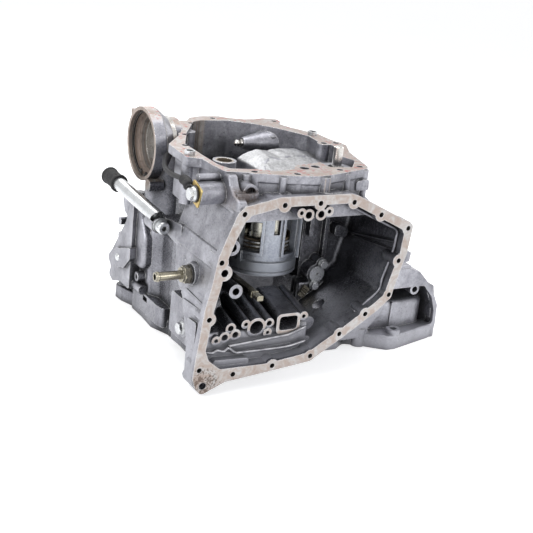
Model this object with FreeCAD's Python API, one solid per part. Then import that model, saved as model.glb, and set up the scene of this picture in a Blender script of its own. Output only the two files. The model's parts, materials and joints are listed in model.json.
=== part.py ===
import FreeCAD, Part
import math
import os

# Main case of a longitudinal gearbox, standing on its lower flange.
# Lengths are in millimetres. X is to the right, Y to the back and Z up, and the control bay opens to -Y.
# Places are measured from the drum axis at the underside of the lower flange.
# The last step moves everything so that the origin is the centre of the footprint.

Vec = FreeCAD.Vector
X_AXIS = Vec(1, 0, 0)
Y_AXIS = Vec(0, 1, 0)
Z_AXIS = Vec(0, 0, 1)
TO_LEFT = Vec(-1, 0, 0)
TO_FRONT = Vec(0, -1, 0)

# Casting: overall levels
BAY_FACE_Y = -130.0
TOP_FACE_Z = 262.0
BAY_BACK_Y = -5.0
DECK_TOP_Z = 213.0
DECK_THICKNESS = 8.0
FLOOR_TOP_Z = 92.0
FLOOR_THICKNESS = 8.0
WALL = 7.0
BAY_FLANGE = 12.0
TOP_FLANGE = 12.0
LOWER_FLANGE = 20.0
CORNER = 7.0
OVERCUT = 1.0
SOFT = 6.0
SOFT_SMALL = 3.0

# Casting: holes and bosses of the three flanges
BAY_HOLE_RADIUS = 3.2
BAY_BOSS_RADIUS = 8.5
BAY_HOLE_DEPTH = 18.0
BAY_BOSS_LENGTH = 24.0
CORNER_HOLE_RADIUS = 4.6
CORNER_HOLE_DEPTH = 28.0
CORNER_BOSS_RADIUS = 11.0
CORNER_BOSS_LENGTH = 34.0
DOWEL_HOLE_DEPTH = 16.0
TOP_HOLE_RADIUS = 4.2
TOP_BOSS_RADIUS = 8.5
TOP_HOLE_DEPTH = 30.0
TOP_BOSS_LENGTH = 60.0
LOWER_HOLE_RADIUS = 5.2
LOWER_BOSS_RADIUS = 10.0
LOWER_BOSS_HEIGHT = 26.0

# Control-bay flange, seen from the front (X, Z)
BAY_OUTLINE = [
    (-108, 226), (-120, 196), (-128, 173), (-133, 139), (-139, 111), (-145, 51), (-147, 26),
    (-142, 11), (-134, 3), (-104, 16), (-53, 21), (-15, 25), (13, 28), (35, 42), (57, 55),
    (83, 72), (105, 87), (122, 102), (124, 114), (130, 138), (136, 160), (139, 196), (134, 201),
    (113, 210), (73, 229), (51, 239), (41, 242), (-55, 242), (-69, 239), (-100, 233),
]
BAY_BODY = [
    (-108, 223), (-117, 195), (-125, 172), (-130, 139), (-136, 111), (-142, 51), (-145, 8),
    (-104, 20), (-53, 25), (-15, 28), (13, 31), (34, 45), (56, 58), (82, 75), (104, 90),
    (120, 104), (121, 115), (127, 139), (133, 161), (137, 200), (112, 207), (72, 226),
    (50, 236), (41, 239), (-55, 239), (-68, 236), (-98, 230),
]
BAY_MOUTH = [
    (-96, 219), (-107, 195), (-116, 170), (-121, 138), (-127, 110), (-133, 60), (-128, 47),
    (-112, 34), (-52, 33), (-16, 37), (8, 40), (29, 53), (51, 66), (77, 83), (98, 97), (112, 108),
    (113, 117), (119, 141), (125, 161), (127, 190), (109, 199), (70, 217), (49, 227), (40, 230),
    (-53, 230), (-66, 227), (-90, 222),
]
BAY_ROOF_LEAN = Vec(-6, 125, -24)
BAY_HOLES = [
    (-100, 224), (-49, 232), (-1, 232), (46, 231), (88, 213), (132, 193), (125, 151), (118, 106),
    (86, 83), (51, 60), (12, 35), (-41, 29), (-94, 25), (-139, 36), (-132, 99), (-123, 168),
]
BAY_DOWEL_HOLE = (-118, 155)
BAY_CORNER_HOLE = (-133, 15)

# Left wall plate of the bay: where it ends at the back, seen from the left (Y, Z)
PLATE_END = [
    (-12, 270), (-10, 172), (-20, 148), (-34, 122), (-64, 104), (-84, 72), (-95, 57), (-104, 2),
    (60, 2), (60, 270),
]
RECESS_X = -98.0

# Upper chamber, seen from above (X, Y)
TOP_OUTLINE = [
    (-123, 36), (-89, 79), (-62, 127), (-34, 170), (-14, 178), (14, 178), (26, 166), (45, 158),
    (62, 158), (76, 163), (97, 155), (85, 128), (91, 109), (113, 70), (114, 43), (120, 10),
    (103, -24), (87, -90), (80, -98), (46, -109), (12, -119), (-2, -121), (-34, -115), (-70, -101),
    (-92, -91), (-107, -87), (-110, -62), (-111, -32), (-126, -23), (-125, -7),
]
CHAMBER = [
    (-104, 42), (-82, 77), (-56, 122), (-30, 163), (-13, 170), (11, 170), (22, 160), (44, 151),
    (62, 151), (88, 151), (77, 128), (83, 107), (105, 68), (106, 43), (112, 11), (96, -22),
    (80, -86), (44, -101), (12, -111), (-2, -113), (-32, -107), (-68, -93), (-90, -83),
    (-100, -79), (-103, -62), (-104, -29),
]
# Wall under the flange's front edge, flush with it
CHAMBER_FRONT = [
    (-96, -8), (-108.5, -22), (-108.5, -62), (-105.5, -85.5), (-91.5, -89.5), (-69.5, -99.5), (-33.5, -113.5),
    (-2, -119.5), (12, -117.5), (45.5, -107.5), (78.5, -96.5), (84.5, -89), (98, -30), (80, -20),
]
CHAMBER_FRONT_WALL_FOOT_Z = 200.0
EAR_WALL = [(-100, -26), (-118, -19), (-118, -2), (-115, 32), (-100, 46)]
EAR_WALL_FOOT_Z = 200.0
UPPER_MOUTH = [
    (-101, 36), (-74, 90), (-37, 149), (-24, 155), (17, 152), (44, 134), (68, 107), (92, 62),
    (90, 33), (100, 10), (84, -20), (66, -40), (38, -62), (20, -68), (-8, -74), (-16, -88),
    (-44, -94), (-66, -83), (-84, -79), (-96, -76), (-102, -58), (-102.5, -20),
]
CHAMBER_MOUTH = [
    (-99, 38), (-74, 90), (-37, 149), (-24, 155), (17, 152), (44, 134), (68, 107), (92, 62),
    (90, 33), (100, 10), (84, -20), (66, -40), (38, -62), (22, -78), (-25, -104), (-79, -78),
    (-89, -73), (-94, -57), (-98, -16),
]
CHAMBER_FRONT_FOOT_Z = 120.0
CHAMBER_REAR_FOOT_Z = 60.0
WELL_FRONT_Y = 76.0
TOP_HOLES = [
    (-104, 29), (-117, -12), (-24, -108), (41, -98), (76, -88), (-80, 82), (-45, 140), (0, 166),
    (86, 145), (101, 66), (111, 22), (-72, -92),
]

# Lower body and lower flange, seen from above (X, Y)
LOWER_BODY = [
    (-98, -48), (-98, 85), (-110, 100), (-112, 142), (-98, 164), (-20, 170), (60, 162),
    (112, 130), (124, 40), (124, -34), (104, -52),
]
LOWER_BODY_TOP = 130.0
LOWER_OUTLINE = [
    (-103, -54), (-99, -20), (-98, 38), (-112, 74), (-109, 148), (-117, 170), (-119, 190),
    (-106, 197), (-60, 188), (10, 182),
    (80, 174), (150, 160), (210, 134), (250, 88), (266, 40), (268, -38), (266, -56), (250, -62),
    (182, -80), (168, -80), (154, -70), (134, -54), (118, -46), (100, -58),
]
LOWER_MOUTH = [
    (-88, -42), (-88, 80), (-98, 104), (-98, 140), (-86, 156), (-18, 160), (56, 152),
    (100, 124), (112, 40), (112, -26), (96, -42),
]
LOWER_HOLES = [
    (-93, -46), (-90, 40), (-106, 182), (-30, 170), (60, 167), (140, 151), (205, 124), (246, 80),
    (258, 20), (257, -50), (182, -69), (138, -52),
]
UNDERFLOOR_TOP_Z = 20.0

# Drum bay around the drum axis
DRUM_RADIUS = 46.0
DRUM_CLEARANCE = 10.0
DRUM_BAY_RADIUS = DRUM_RADIUS + DRUM_CLEARANCE
DRUM_HOLE_RADIUS = 48.0
DECK_HOLE_RADIUS = 26.0

# Right lobe: hood and window seen from the front (X, Z), inner bulge seen from above
HOOD = [
    (100, 12), (100, 104), (176, 98), (190, 108), (204, 108), (222, 101), (247, 76), (262, 48),
    (264, 12),
]
HOOD_FRONT_Y = -60.0
HOOD_BACK_Y = 92.0
HOOD_WALL = 6.0
HOOD_INSIDE = [
    (112, -1), (112, 97), (175, 91), (191, 101), (202, 101), (217, 95), (241, 72), (255, 46),
    (257, -1),
]
APRON = [(100, 60), (244, 60), (244, 84), (204, 124), (146, 148), (100, 152)]
APRON_INSIDE = [(112, 50), (236, 50), (237, 80), (200, 117), (143, 140), (112, 143)]
APRON_TOP_Z = 60.0
LOBE_MOUTH_FRONT_Y = -40.0
WINDOW = [
    (140, 20), (162, 44), (178, 80), (232, 80), (248, 62), (256, 40), (257, 20),
]
WINDOW_BOSS = (216, 76)
WINDOW_BOSS_RADIUS = 7.5
WINDOW_BOSS_HOLE = 4.3
BULGE = [
    (126, 40), (126, -34), (150, -49), (200, -54), (240, -48), (254, -26), (252, 44), (200, 62),
]
BULGE_INSIDE = [
    (134, 34), (134, -28), (154, -41), (200, -46), (234, -41), (246, -22), (244, 39), (200, 54),
]
BULGE_HEIGHT = 59.0
BULGE_ROUNDING = 9.0

# Axle tube on the left
AXLE_CENTRE = (130, 238)
AXLE_FACE_X = -119.0
AXLE_COLLAR_RADIUS = 48.0
AXLE_COLLAR_LENGTH = 17.0
AXLE_NECK_RADIUS = 34.0
AXLE_NECK_END_X = -44.0
AXLE_BORE_RADIUS = 43.5
AXLE_BORE_DEPTH = 15.0
AXLE_RACE_SEAT_RADIUS = 36.0
AXLE_RACE_SEAT_DEPTH = 36.0
AXLE_SHOULDER_RADIUS = 29.0
AXLE_SHOULDER_DEPTH = 46.0
AXLE_DEEP_RADIUS = 19.0
AXLE_GROOVE_DEPTH = 2.0
AXLE_GROOVE_WIDTH = 2.4
AXLE_GROOVE_PLACE = 5.0

# Ports in the bay floor: place on the port face (X, Z), boss radius and hole radius
PORT_FACE_Y = -114.0
PORT_RISE = 0.2
PORT_LENGTH = 62.0
LOWER_PORTS = [
    (-112, 63, 6.0, 2.6), (-101, 66, 7.2, 4.2), (-94, 77, 6.8, 3.8), (-87, 68, 7.2, 4.2),
    (-74, 80, 6.0, 2.6), (-59, 74, 12.5, 9.0), (-42, 78, 6.6, 3.6), (-43, 66, 5.8, 2.4),
    (6, 82, 6.2, 2.6),
]
PORT_DEPTH = 45.0
PASSAGE_CENTRE = (-15, 75)
PASSAGE_OUTER = (33.0, 26.0)
PASSAGE_INNER = (25.0, 18.0)
PORT_BLOCK = [(-110, 34), (-110, 71), (-60, 84), (-48, 88), (-8, 88), (-8, 34)]
PORT_BLOCK_X = (-124.0, 16.0)
UPPER_PORT_FACE_Y = -123.0
UPPER_PORTS = [(-21, 219, 6.0, 2.6), (-11, 216, 7.4, 4.4), (6, 216, 7.4, 4.4), (17, 219, 6.0, 2.6)]
UPPER_PORT_LENGTH = 60.0

# Selector shaft, parallel to Y
SELECTOR_PLACE = (-64.5, 116.5)
SELECTOR_RADIUS = 5.0
SELECTOR_FRONT_Y = -124.0
SELECTOR_BACK_Y = 22.0
SELECTOR_BAR = (9.6, 7.4)
SELECTOR_BAR_END_Y = -32.0
SELECTOR_TIP_LENGTH = 15.0
SELECTOR_TIP = (8.0, 6.2)
SELECTOR_NOTCHES = 5
SELECTOR_NOTCH = 1.2
RUNNING_CLEARANCE = 0.05
SELECTOR_BOSS_RADIUS = 10.0
SELECTOR_BOSS_FRONT_Y = -26.0

# Ribs down the chamber's front wall (X, Y, radius) and humps on the bay's roof (X, Z, radius, length)
FRONT_RIBS = [(-84, -95.0, 4.5), (-44, -111.0, 4.5), (9, -116.5, 7.5), (46, -106.0, 5.0), (78, -95.0, 6.0)]
FRONT_RIB_FOOT_Z = 214.0
ROOF_HUMPS = [(-38, 232, 10.0, 16), (-58, 231, 9.0, 20), (-8, 231, 10.0, 10), (62, 224, 8.0, 30)]
ROOF_CLIP = [(6, -127), (30, -127), (30, -112), (6, -112)]
ROOF_CLIP_Z = (234.0, 243.0)
BAY_TAB = [(132, 146), (143, 148), (144, 160), (134, 164)]
BAY_SHOULDER = [(84, 96), (118, 96), (136, 120), (136, 160), (112, 196), (84, 214)]
BAY_SHOULDER_Y = (-100.0, -20.0)

# Pad on the chamber's front wall, at its right
FRONT_PAD = [(64, 236), (83, 236), (82, 250), (64, 248)]
FRONT_PAD_Y = (-103.0, -88.0)

# Steps cast in the bay's floor and ribs on its back wall: outline (X, Z), corner, front Y
BAY_STEPS = [
    ([(-122, 30), (-4, 30), (-4, 47), (-84, 44), (-122, 52)], 5, -112),
    ([(-118, 30), (-70, 30), (-70, 40), (-118, 42)], 4, -122),
    ([(-20, 32), (20, 36), (24, 52), (-20, 50)], 5, -108),
]
BAY_STEP_BACK_Y = PORT_FACE_Y + 30
BAY_WALL_RIBS = [
    ([(58, 150), (64, 150), (64, 204), (58, 204)], 2, -24),
    ([(84, 112), (90, 112), (90, 196), (84, 196)], 2, -20),
    ([(96, 150), (116, 146), (116, 160), (96, 166)], 4, -26),
]
# Tube ends in the bay: place of the front end, radius, length, hole's radius and depth
BAY_TUBES = [
    (Vec(-85, -101, 118), 9.0, 100.0, 4.6, 30.0),
    (Vec(-107, -122, 182), 9.5, 24.0, 5.4, 16.0),
]
FLOOR_HOLE = Vec(60, -62, 50)
FLOOR_HOLE_RADIUS = 7.5
COVER_HOLE_DEPTH = 14.0

# Clutch drum and what turns in it
DRUM_WALL = 6.0
DRUM_FOOT_Z = 109.0
DRUM_RIM_HEIGHT = 19.0
DRUM_RIM_GROW = 2.0
DRUM_FLOOR = 8.0
DRUM_FLANGE = 6.0
DRUM_LUG_RADIUS = 5.4
DRUM_FRAME_RISE = 2.2
DRUM_FRAME_ANGLE = 4.5
DRUM_FRAME_SILL = 3.5
DRUM_SLOT_ANGLE = 6
DRUM_RIBS = [-36, 32, 96, 150, 210]
# Each window: its middle and half its width in degrees, its low and high level
DRUM_WINDOWS = [
    (-136, 16, 140, 180), (-136, 14, 188, 198), (-95, 5, 164, 200), (-68, 13, 138, 190),
    (-10, 18, 140, 182),
    (62, 18, 140, 182), (122, 16, 140, 182), (180, 18, 140, 182),
]
DRUM_BOLT_OFFSET = 4.5
DRUM_BOLT_CIRCLE = DRUM_RADIUS + DRUM_BOLT_OFFSET
DRUM_BOLT_ANGLES = [-160, -112, -52, 10, 70, 128]
HUB_RADIUS = 31.0
HUB_WALL = 5.0
HUB_FOOT_Z = 122.0
HUB_TOP_Z = 196.0
HUB_BORE_RADIUS = 11.0
HUB_JOURNAL_RADIUS = 14.0
HUB_SPLINES = 24
HUB_SPLINE = 1.8
HUB_EYE_RADIUS = 8.0
HUB_EYE_Z = 170.0
PLATE_COUNT = 5
PLATE_THICKNESS = 2.2
PLATE_PITCH = 5.0
PLATE_GAP = 0.3
PLATE_RADIUS = 38.0
FIRST_PLATE_Z = 132.0
BEARING_RADIUS = 20.0
BEARING_HEIGHT = 9.0

# Round bosses and pins in the chamber
SIDE_BOSS_PLACE = (-76.0, -24.0)
SIDE_BOSS_RADIUS = 14.5
SIDE_BOSS_TOP_Z = 257.0
SIDE_BUSH_OUTER = 11.5
SIDE_BUSH_INNER = 9.5
SIDE_BUSH_LENGTH = 22.0
PIVOT_PLACE = (57.0, -66.0)
PIVOT_BOSS_RADIUS = 19.5
PIVOT_BOSS_TOP_Z = 256.0
PIVOT_POCKET_RADIUS = 10.5
PIVOT_POCKET_DEPTH = 22.0
PIVOT_RADIUS = 6.5
PIVOT_SEAT_DEPTH = 14.0
PIVOT_STANDS = 26.0
PIVOT_JOURNAL_RADIUS = 6.0
PIVOT_JOURNAL_LENGTH = 24.0
PIVOT_CHAMFER = 1.2
TALL_BOSS_PLACE = (93.0, 23.0)
TALL_BOSS_RADIUS = 9.0
CONE_SEAT_X = 24.0
CONE_LENGTH = 60.0
CONE_RADII = (7.6, 23.0)
BALL_PIN_PLACE = (120.0, 238.5)
BALL_PIN_RADIUS = 3.6
BALL_PIN_END_X = 38.0
BALL_X = 17.0
BALL_RADIUS = 4.6
# Two galleries that open in the plate in front of the chamber: X, Y, radius, hole
GALLERY_PAIR = [(-1.5, -86.0, 10.0, 6.0), (16.5, -81.5, 9.5, 5.6)]
GALLERY_HOLE_FOOT_Z = 236.0
TALL_BOSS_HOLE = 4.5
# Pillars in the well: X, Y, radius, height
WELL_PILLARS = [(-60, 114, 9.0, 158), (66, 112, 8.0, 150)]
WELL_PILLAR_FOOT_Z = 100.0
# Web that rises from the chamber's floor: its ridge from the front, its slope from the side
WEB_RIDGE = [
    (-11.4, 208), (-11.4, 233), (-4, 238), (4, 241.5), (15, 244.6), (24, 243.6), (31, 242), (38, 244),
    (46, 244.7), (70, 244.7), (86, 240), (104, 239), (104, 208),
]
WEB_SLOPE = [(-84, 206), (-84, 213), (56, 253), (64, 253), (64, 206)]
# Recess around the pivot boss
CORNER_RECESS = [(34, -86), (64, -90), (86, -62), (78, -34), (62, -36), (34, -60)]
CORNER_RECESS_DEPTH = 12.0

# Ribs of the lobe's hood: outline (X, Z), corner, front Y, back Y
LOBE_RIBS = [
    ([(150, 92), (172, 92), (172, 104), (150, 106)], 3, -56, 80),
    ([(186, 98), (208, 98), (205, 112), (189, 112)], 3, -58, 30),
    ([(238, 66), (254, 60), (250, 78), (238, 84)], 3, -58, 50),
]
# Lugs of the lower flange at the lobe's end: X, Y, radius, height
LOBE_LUGS = [(259, -8, 9.0, 44), (262, 30, 8.0, 36)]
# Ribs of the back wall: upright at X, level at Z, and on the right side at Y
BACK_RIB_WIDTH = 6.0
BACK_UPRIGHTS_X = (-62, -2, 50)
BACK_UPRIGHT_Z = (10.0, 236.0)
BACK_BELTS_Z = (92, 158)
BACK_BELT_X = (-70.0, 90.0)
BACK_RIB_Y = (140.0, 174.0)
RIGHT_RIBS_Y = (30, 74)
RIGHT_RIB_Z = (20.0, 236.0)
RIGHT_RIB_X = (96.0, 118.0)

# Block at the gusset's foot, and the end of the gallery behind it
GUSSET_FOOT = [(-105, -119), (-77, -119), (-77, -92), (-105, -84)]
GUSSET_FOOT_Z = (224.0, 244.0)
RING_END = Vec(-86.0, -113.0, 243.5)
RING_END_RADIUS = 9.5
RING_END_HOLE = 6.6
RING_END_LENGTH = 24.0

# Plain bosses and ribs on the left: outlines (Y, Z) with corner, left X and right X
LEFT_SLABS = [
    ([(-92, 58), (-92, 88), (-116, 90), (-116, 58)], 4, -141.5, -130),
    ([(158, 124), (178, 130), (186, 146), (178, 160), (158, 164)], 6, -116, -96),
    ([(140, 20), (192, 20), (192, 120), (160, 165), (140, 165)], 8, -106, -92),
]
# Round bosses: place of the face, radius and length, all along X
LEFT_ROUNDS = [
    (Vec(-119, 100, 190), 8.0, 20.0), (Vec(-120, 184, 114), 5.5, 22.0), (Vec(-116, 190, 90), 6.0, 18.0),
]
# Ledges over the lower flange: outline (X, Y), corner and the two levels
LEFT_LEDGES = [
    ([(-90, 46), (-109, 46), (-112, 62), (-112, 122), (-90, 122)], 5, 10, 37),
    ([(-92, -44), (-106, -36), (-110, 16), (-92, 24)], 5, 10, 30),
]
BARB_SEAT_CONE = (16.0, 14.0)
STUB_PLACE = Vec(-121, 112, 59)
STUB_CONE = (6.5, 10.0, 26.0)
STUB_HOLE = 3.2
LEFT_BEAD = Vec(-116, 98, 44)
LEFT_BEAD_RADIUS = 6.5
LEFT_BEAD_LENGTH = 62.0
SADDLE_WEB_FRONT = [(-30, 150), (-30, 180)]
SADDLE_WEB_X = -128.0
SMALL_STUB_OFFSET = Vec(4, 9, 16)
SMALL_STUB_RADIUS = 4.6
BOSS_RUN = 42.0
GUSSET = [
    (-84, 260), (-97, 260), (-103, 250), (-114, 241), (-128, 236), (-128, 214), (-84, 214),
]
GUSSET_X = (-108.0, -97.0)
BAND = [(-120, 180), (-125.4, 178), (-129.6, 157), (-122, 154)]
BAND_Y = (-120.0, -14.0)
# Slots cast in the left side: two opposite corners
LEFT_SLOTS = [
    (Vec(-150, -60, 104), Vec(-128, -42, 109)), (Vec(-118, 92, 27), Vec(-104, 106, 34)),
]

# Fittings on the left side
TUBE_START = Vec(-140.0, 10.0, 175.5)
TUBE_AXIS = Vec(0.0, 1.0, 0.034).normalize()
TUBE_RADIUS = 9.0
TUBE_WALL = 1.6
TUBE_LENGTH = 146.0
TUBE_CLOSED_LENGTH = 16.0
TUBE_SLANT = 35.0
SADDLE_PLACE = (-139.0, 167.0)
SADDLE_RADIUS = 10.5
SADDLE_FRONT_Y = 10.0
SADDLE_BACK_Y = 34.0
CAP_RADIUS = 11.0
CAP_LENGTH = 37.0
CAP_GRIP = 12.0
SCREW_RADIUS = 4.0
SCREW_LENGTH = 8.0
SCREW_HEAD_RADIUS = 8.0
SCREW_HEAD_LENGTH = 15.0
SCREW_COLLAR_RADIUS = 9.6
BARB_PLACE = (-77.0, 136.0)
BARB_SEAT_X = -135.0
BARB_TIP_X = -180.0
BARB_RADIUS = 5.3
BARB_BEAD = 0.9
BARB_BORE = 3.7
BARB_HEX = 19.0
BARB_HEX_LENGTH = 8.0
SEAL_RADIUS = 11.5
SEAL_THICKNESS = 2.0
BARB_THREAD_RADIUS = 6.0
BARB_THREAD_LENGTH = 11.0
CLAMP_BOSS_PLACE = (-84.0, 236.0)
CLAMP_BOSS_RADIUS = 13.0
CLAMP_BOSS_FACE_X = -139.0
CLAMP_PLATE_SIZE = (24.0, 24.0)
CLAMP_PLATE_THICKNESS = 1.6
CLAMP_PLATE_TURN = 18.0
ARM_EYE_RADIUS = 9.5
ARM_EYE_THICKNESS = 2.4
ARM_RADIUS = 3.2
ARM_SLEEVE_RADIUS = 6.2
ARM_SLEEVED = slice(1, 4)
ARM_POINTS = [
    (-144.5, -74, 240), (-141, -64, 241), (-136, -50, 240), (-133, -30, 238), (-131, 2, 234),
    (-127, 30, 233),
    (-119, 52, 234), (-108, 74, 236), (-97, 90.5, 237),
]
M8_RADIUS = 4.0
M8_HEAD = 13.0
M8_HEAD_HEIGHT = 6.5
M8_FLANGE_RADIUS = 8.6
M8_FLANGE_HEIGHT = 1.8
SIDE_BOLT_PLACE = (-58.0, 58.0)
SIDE_BOLT_FACE_X = -130.0
SIDE_BOLT_CONE = (16.0, 11.5, 34.0)
EAR_PLACE = (160.0, 70.0)
EAR_FACE_X = -130.0
EAR_THICKNESS = 12.0
EAR_RADIUS = 14.0
EAR_ARM = [(118, 98), (118, 82), (138, 62), (160, 57), (172, 66), (170, 80)]
EAR_PIN_RADIUS = 3.0
EAR_PIN_LENGTH = 15.0
EAR_PIN_HEAD_RADIUS = 7.0
LEFT_FIN = [
    (124, 36), (156, 36), (184, 26), (198, 31), (192, 45), (202, 52), (202, 60), (191, 70),
    (147, 126), (132, 158), (124, 158),
]
LEFT_FIN_X = -126.0
LEFT_COLUMN = [(96, 72), (134, 70), (147, 148), (136, 160), (112, 142), (97, 118)]
LEFT_COLUMN_X = -120.0

AXLE_RACE_LENGTH = 14.0
SNAP_RING_WIDTH = 3.0

# Cover on the bay's back wall, seen from the front (X, Z)
COVER_CENTRE = (71.0, 101.0)
COVER_BOLTS = [(78.0, 115.0), (68.0, 86.0)]
COVER_FACE_Y = -31.0
COVER_PILLAR = [(57, 0), (45, -31), (84, -31), (92, -24), (96, 0)]
COVER_PILLAR_TOP_Z = 90.0
COVER_BOSS_RADIUS = 13.5
COVER_BOSS_EAR_RADIUS = 8.0
COVER_RADIUS = 11.0
COVER_THICKNESS = 3.0
COVER_EAR_RADIUS = 6.5
COVER_PAD = 3.0
M6_RADIUS = 3.0
M6_HEAD = 10.0
M6_HEAD_HEIGHT = 4.5
TAG_PLACE = (54.0, 78.0)
BAY_WALL_FACE_Y = BAY_BACK_Y - WALL

# Dowel sleeves
DOWEL_OUTER = 6.5
DOWEL_INNER = 4.4
DOWEL_LENGTH = 14.0
DOWEL_STANDS = 5.0
TOP_DOWEL_HOLES = [1, 9]


def floor_view(u, v, level):
    return Vec(u, v, level)


def front_view(u, v, level):
    return Vec(u, level, v)


def side_view(u, v, level):
    return Vec(level, u, v)


# A closed wire through the points, with an arc at each corner
def rounded_wire(points, corner):
    edges = []
    ends = []
    count = len(points)
    for index, point in enumerate(points):
        back = points[index - 1] - point
        ahead = points[(index + 1) % count] - point
        shorter = min(back.Length, ahead.Length)
        half = back.getAngle(ahead) / 2
        back.normalize()
        ahead.normalize()
        reach = min(corner / math.tan(half), 0.42 * shorter)
        radius = reach * math.tan(half)
        middle = back + ahead
        if reach < 0.05 or middle.Length < 1e-3:
            ends.append((point, point, None))
            continue
        middle.normalize()
        top = point + middle * (radius / math.sin(half) - radius)
        ends.append((point + back * reach, point + ahead * reach, top))
    for index, (start, end, top) in enumerate(ends):
        if top is not None:
            edges.append(Part.Arc(start, top, end).toShape())
        following = ends[(index + 1) % count][0]
        edges.append(Part.LineSegment(end, following).toShape())
    return Part.Wire(edges)


# A solid between two levels of a view, with the outline's corners rounded
def slab(outline, corner, view, low, high):
    start = [view(u, v, low) for u, v in outline]
    depth = view(0, 0, high) - view(0, 0, low)
    return Part.Face(rounded_wire(start, corner)).extrude(depth)


# The solid with the rim of its flat end at a level of the view rounded
def soft_rim(solid, view, level, radius):
    along = view(0, 0, 1)
    rim = []
    for edge in solid.Edges:
        places = [vertex.Point.dot(along) for vertex in edge.Vertexes]
        places.append(edge.CenterOfMass.dot(along))
        if max(abs(place - level) for place in places) < 0.01:
            rim.append(edge)
    return solid.makeFillet(radius, rim)


def box(low, high):
    size = high - low
    return Part.makeBox(size.x, size.y, size.z, low)


def rod(radius, start, axis, length):
    return Part.makeCylinder(radius, length, start, axis)


def tube(outer, inner, start, axis, length):
    overrun = axis * OVERCUT
    core = rod(inner, start - overrun, axis, length + 2 * OVERCUT)
    return rod(outer, start, axis, length).cut(core)


# A hexagonal bar with the given width across its flats
def hexagon(across, start, axis, length):
    corner_radius = across / math.sqrt(3)
    side = X_AXIS if abs(axis.x) < 0.5 else Y_AXIS
    other = axis.cross(side)
    turns = [math.radians(60 * step) for step in range(7)]
    points = [
        start + side * (corner_radius * math.cos(t)) + other * (corner_radius * math.sin(t))
        for t in turns
    ]
    return Part.Face(Part.makePolygon(points)).extrude(axis * length)


# A hexagon head whose outer corners are turned off
def hex_head(across, start, axis, height):
    head = hexagon(across, start, axis, height)
    narrow = across * 0.5
    wide = across * 0.62
    turned = Part.makeCone(wide + height - 1.0, narrow, height, start, axis)
    return head.common(turned)


def hex_flange_bolt(seat, axis, shank):
    flange = Part.makeCone(M8_FLANGE_RADIUS, M8_HEAD * 0.56, M8_FLANGE_HEIGHT + 1.0, seat, axis)
    head = hex_head(M8_HEAD, seat, axis, M8_HEAD_HEIGHT)
    stem = rod(M8_RADIUS, seat - axis * shank, axis, shank + OVERCUT)
    return flange.fuse([head, stem])


def joined(solids):
    return solids[0].multiFuse(solids[1:])


# The space under the bay's roof, which falls towards the back on the right
def under_roof(drop):
    limit = [(-220, -60), (150, -60), (150, 198), (139, 203), (72, 231), (41, 245), (-220, 245)]
    points = [Vec(u, BAY_FACE_Y, v - drop) for u, v in limit]
    face = Part.Face(Part.makePolygon(points + points[:1]))
    return face.extrude(BAY_ROOF_LEAN)


# What lies behind the back edge of the bay's left wall plate
def behind_plate(inward):
    outline = [(y - inward, z) for y, z in PLATE_END]
    return slab(outline, CORNER, side_view, -260, RECESS_X + inward)


def bay_outside():
    flange_back_y = BAY_FACE_Y + BAY_FLANGE
    flange = slab(BAY_OUTLINE, CORNER, front_view, BAY_FACE_Y, flange_back_y)
    flange = soft_rim(flange, front_view, flange_back_y, SOFT_SMALL)
    body = slab(BAY_BODY, CORNER, front_view, BAY_FACE_Y + BAY_FLANGE / 2, BAY_BACK_Y)
    return [flange, body.common(under_roof(0)).cut(behind_plate(0))]


def bay_inside():
    room = slab(BAY_MOUTH, CORNER, front_view, BAY_FACE_Y - OVERCUT, BAY_WALL_FACE_Y)
    room = soft_rim(room, front_view, BAY_WALL_FACE_Y, SOFT)
    room = room.common(under_roof(WALL + 2).fuse(box(Vec(-300, -200, -50), Vec(300, -118, 300))))
    over_deck = box(Vec(-300, -104, DECK_TOP_Z - DECK_THICKNESS), Vec(300, 100, 300))
    return room.cut([behind_plate(WALL), over_deck])


def chamber_outside():
    rear = slab(CHAMBER, CORNER, floor_view, CHAMBER_REAR_FOOT_Z, CHAMBER_FRONT_FOOT_Z + WALL)
    rear = rear.common(box(Vec(-300, BAY_BACK_Y, 0), Vec(300, 300, 300)))
    bosses = [
        rod(TOP_BOSS_RADIUS, Vec(x, y, TOP_FACE_Z - TOP_BOSS_LENGTH), Z_AXIS, TOP_BOSS_LENGTH)
        for x, y in TOP_HOLES
    ]
    flange_foot = TOP_FACE_Z - TOP_FLANGE
    flange = slab(TOP_OUTLINE, 4, floor_view, flange_foot, TOP_FACE_Z)
    return [
        soft_rim(flange, floor_view, flange_foot, SOFT_SMALL),
        slab(CHAMBER, CORNER, floor_view, CHAMBER_FRONT_FOOT_Z, TOP_FACE_Z),
        slab(CHAMBER_FRONT, 5, floor_view, CHAMBER_FRONT_WALL_FOOT_Z, TOP_FACE_Z),
        slab(EAR_WALL, 5, floor_view, EAR_WALL_FOOT_Z, TOP_FACE_Z),
        rear,
    ] + bosses


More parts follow.
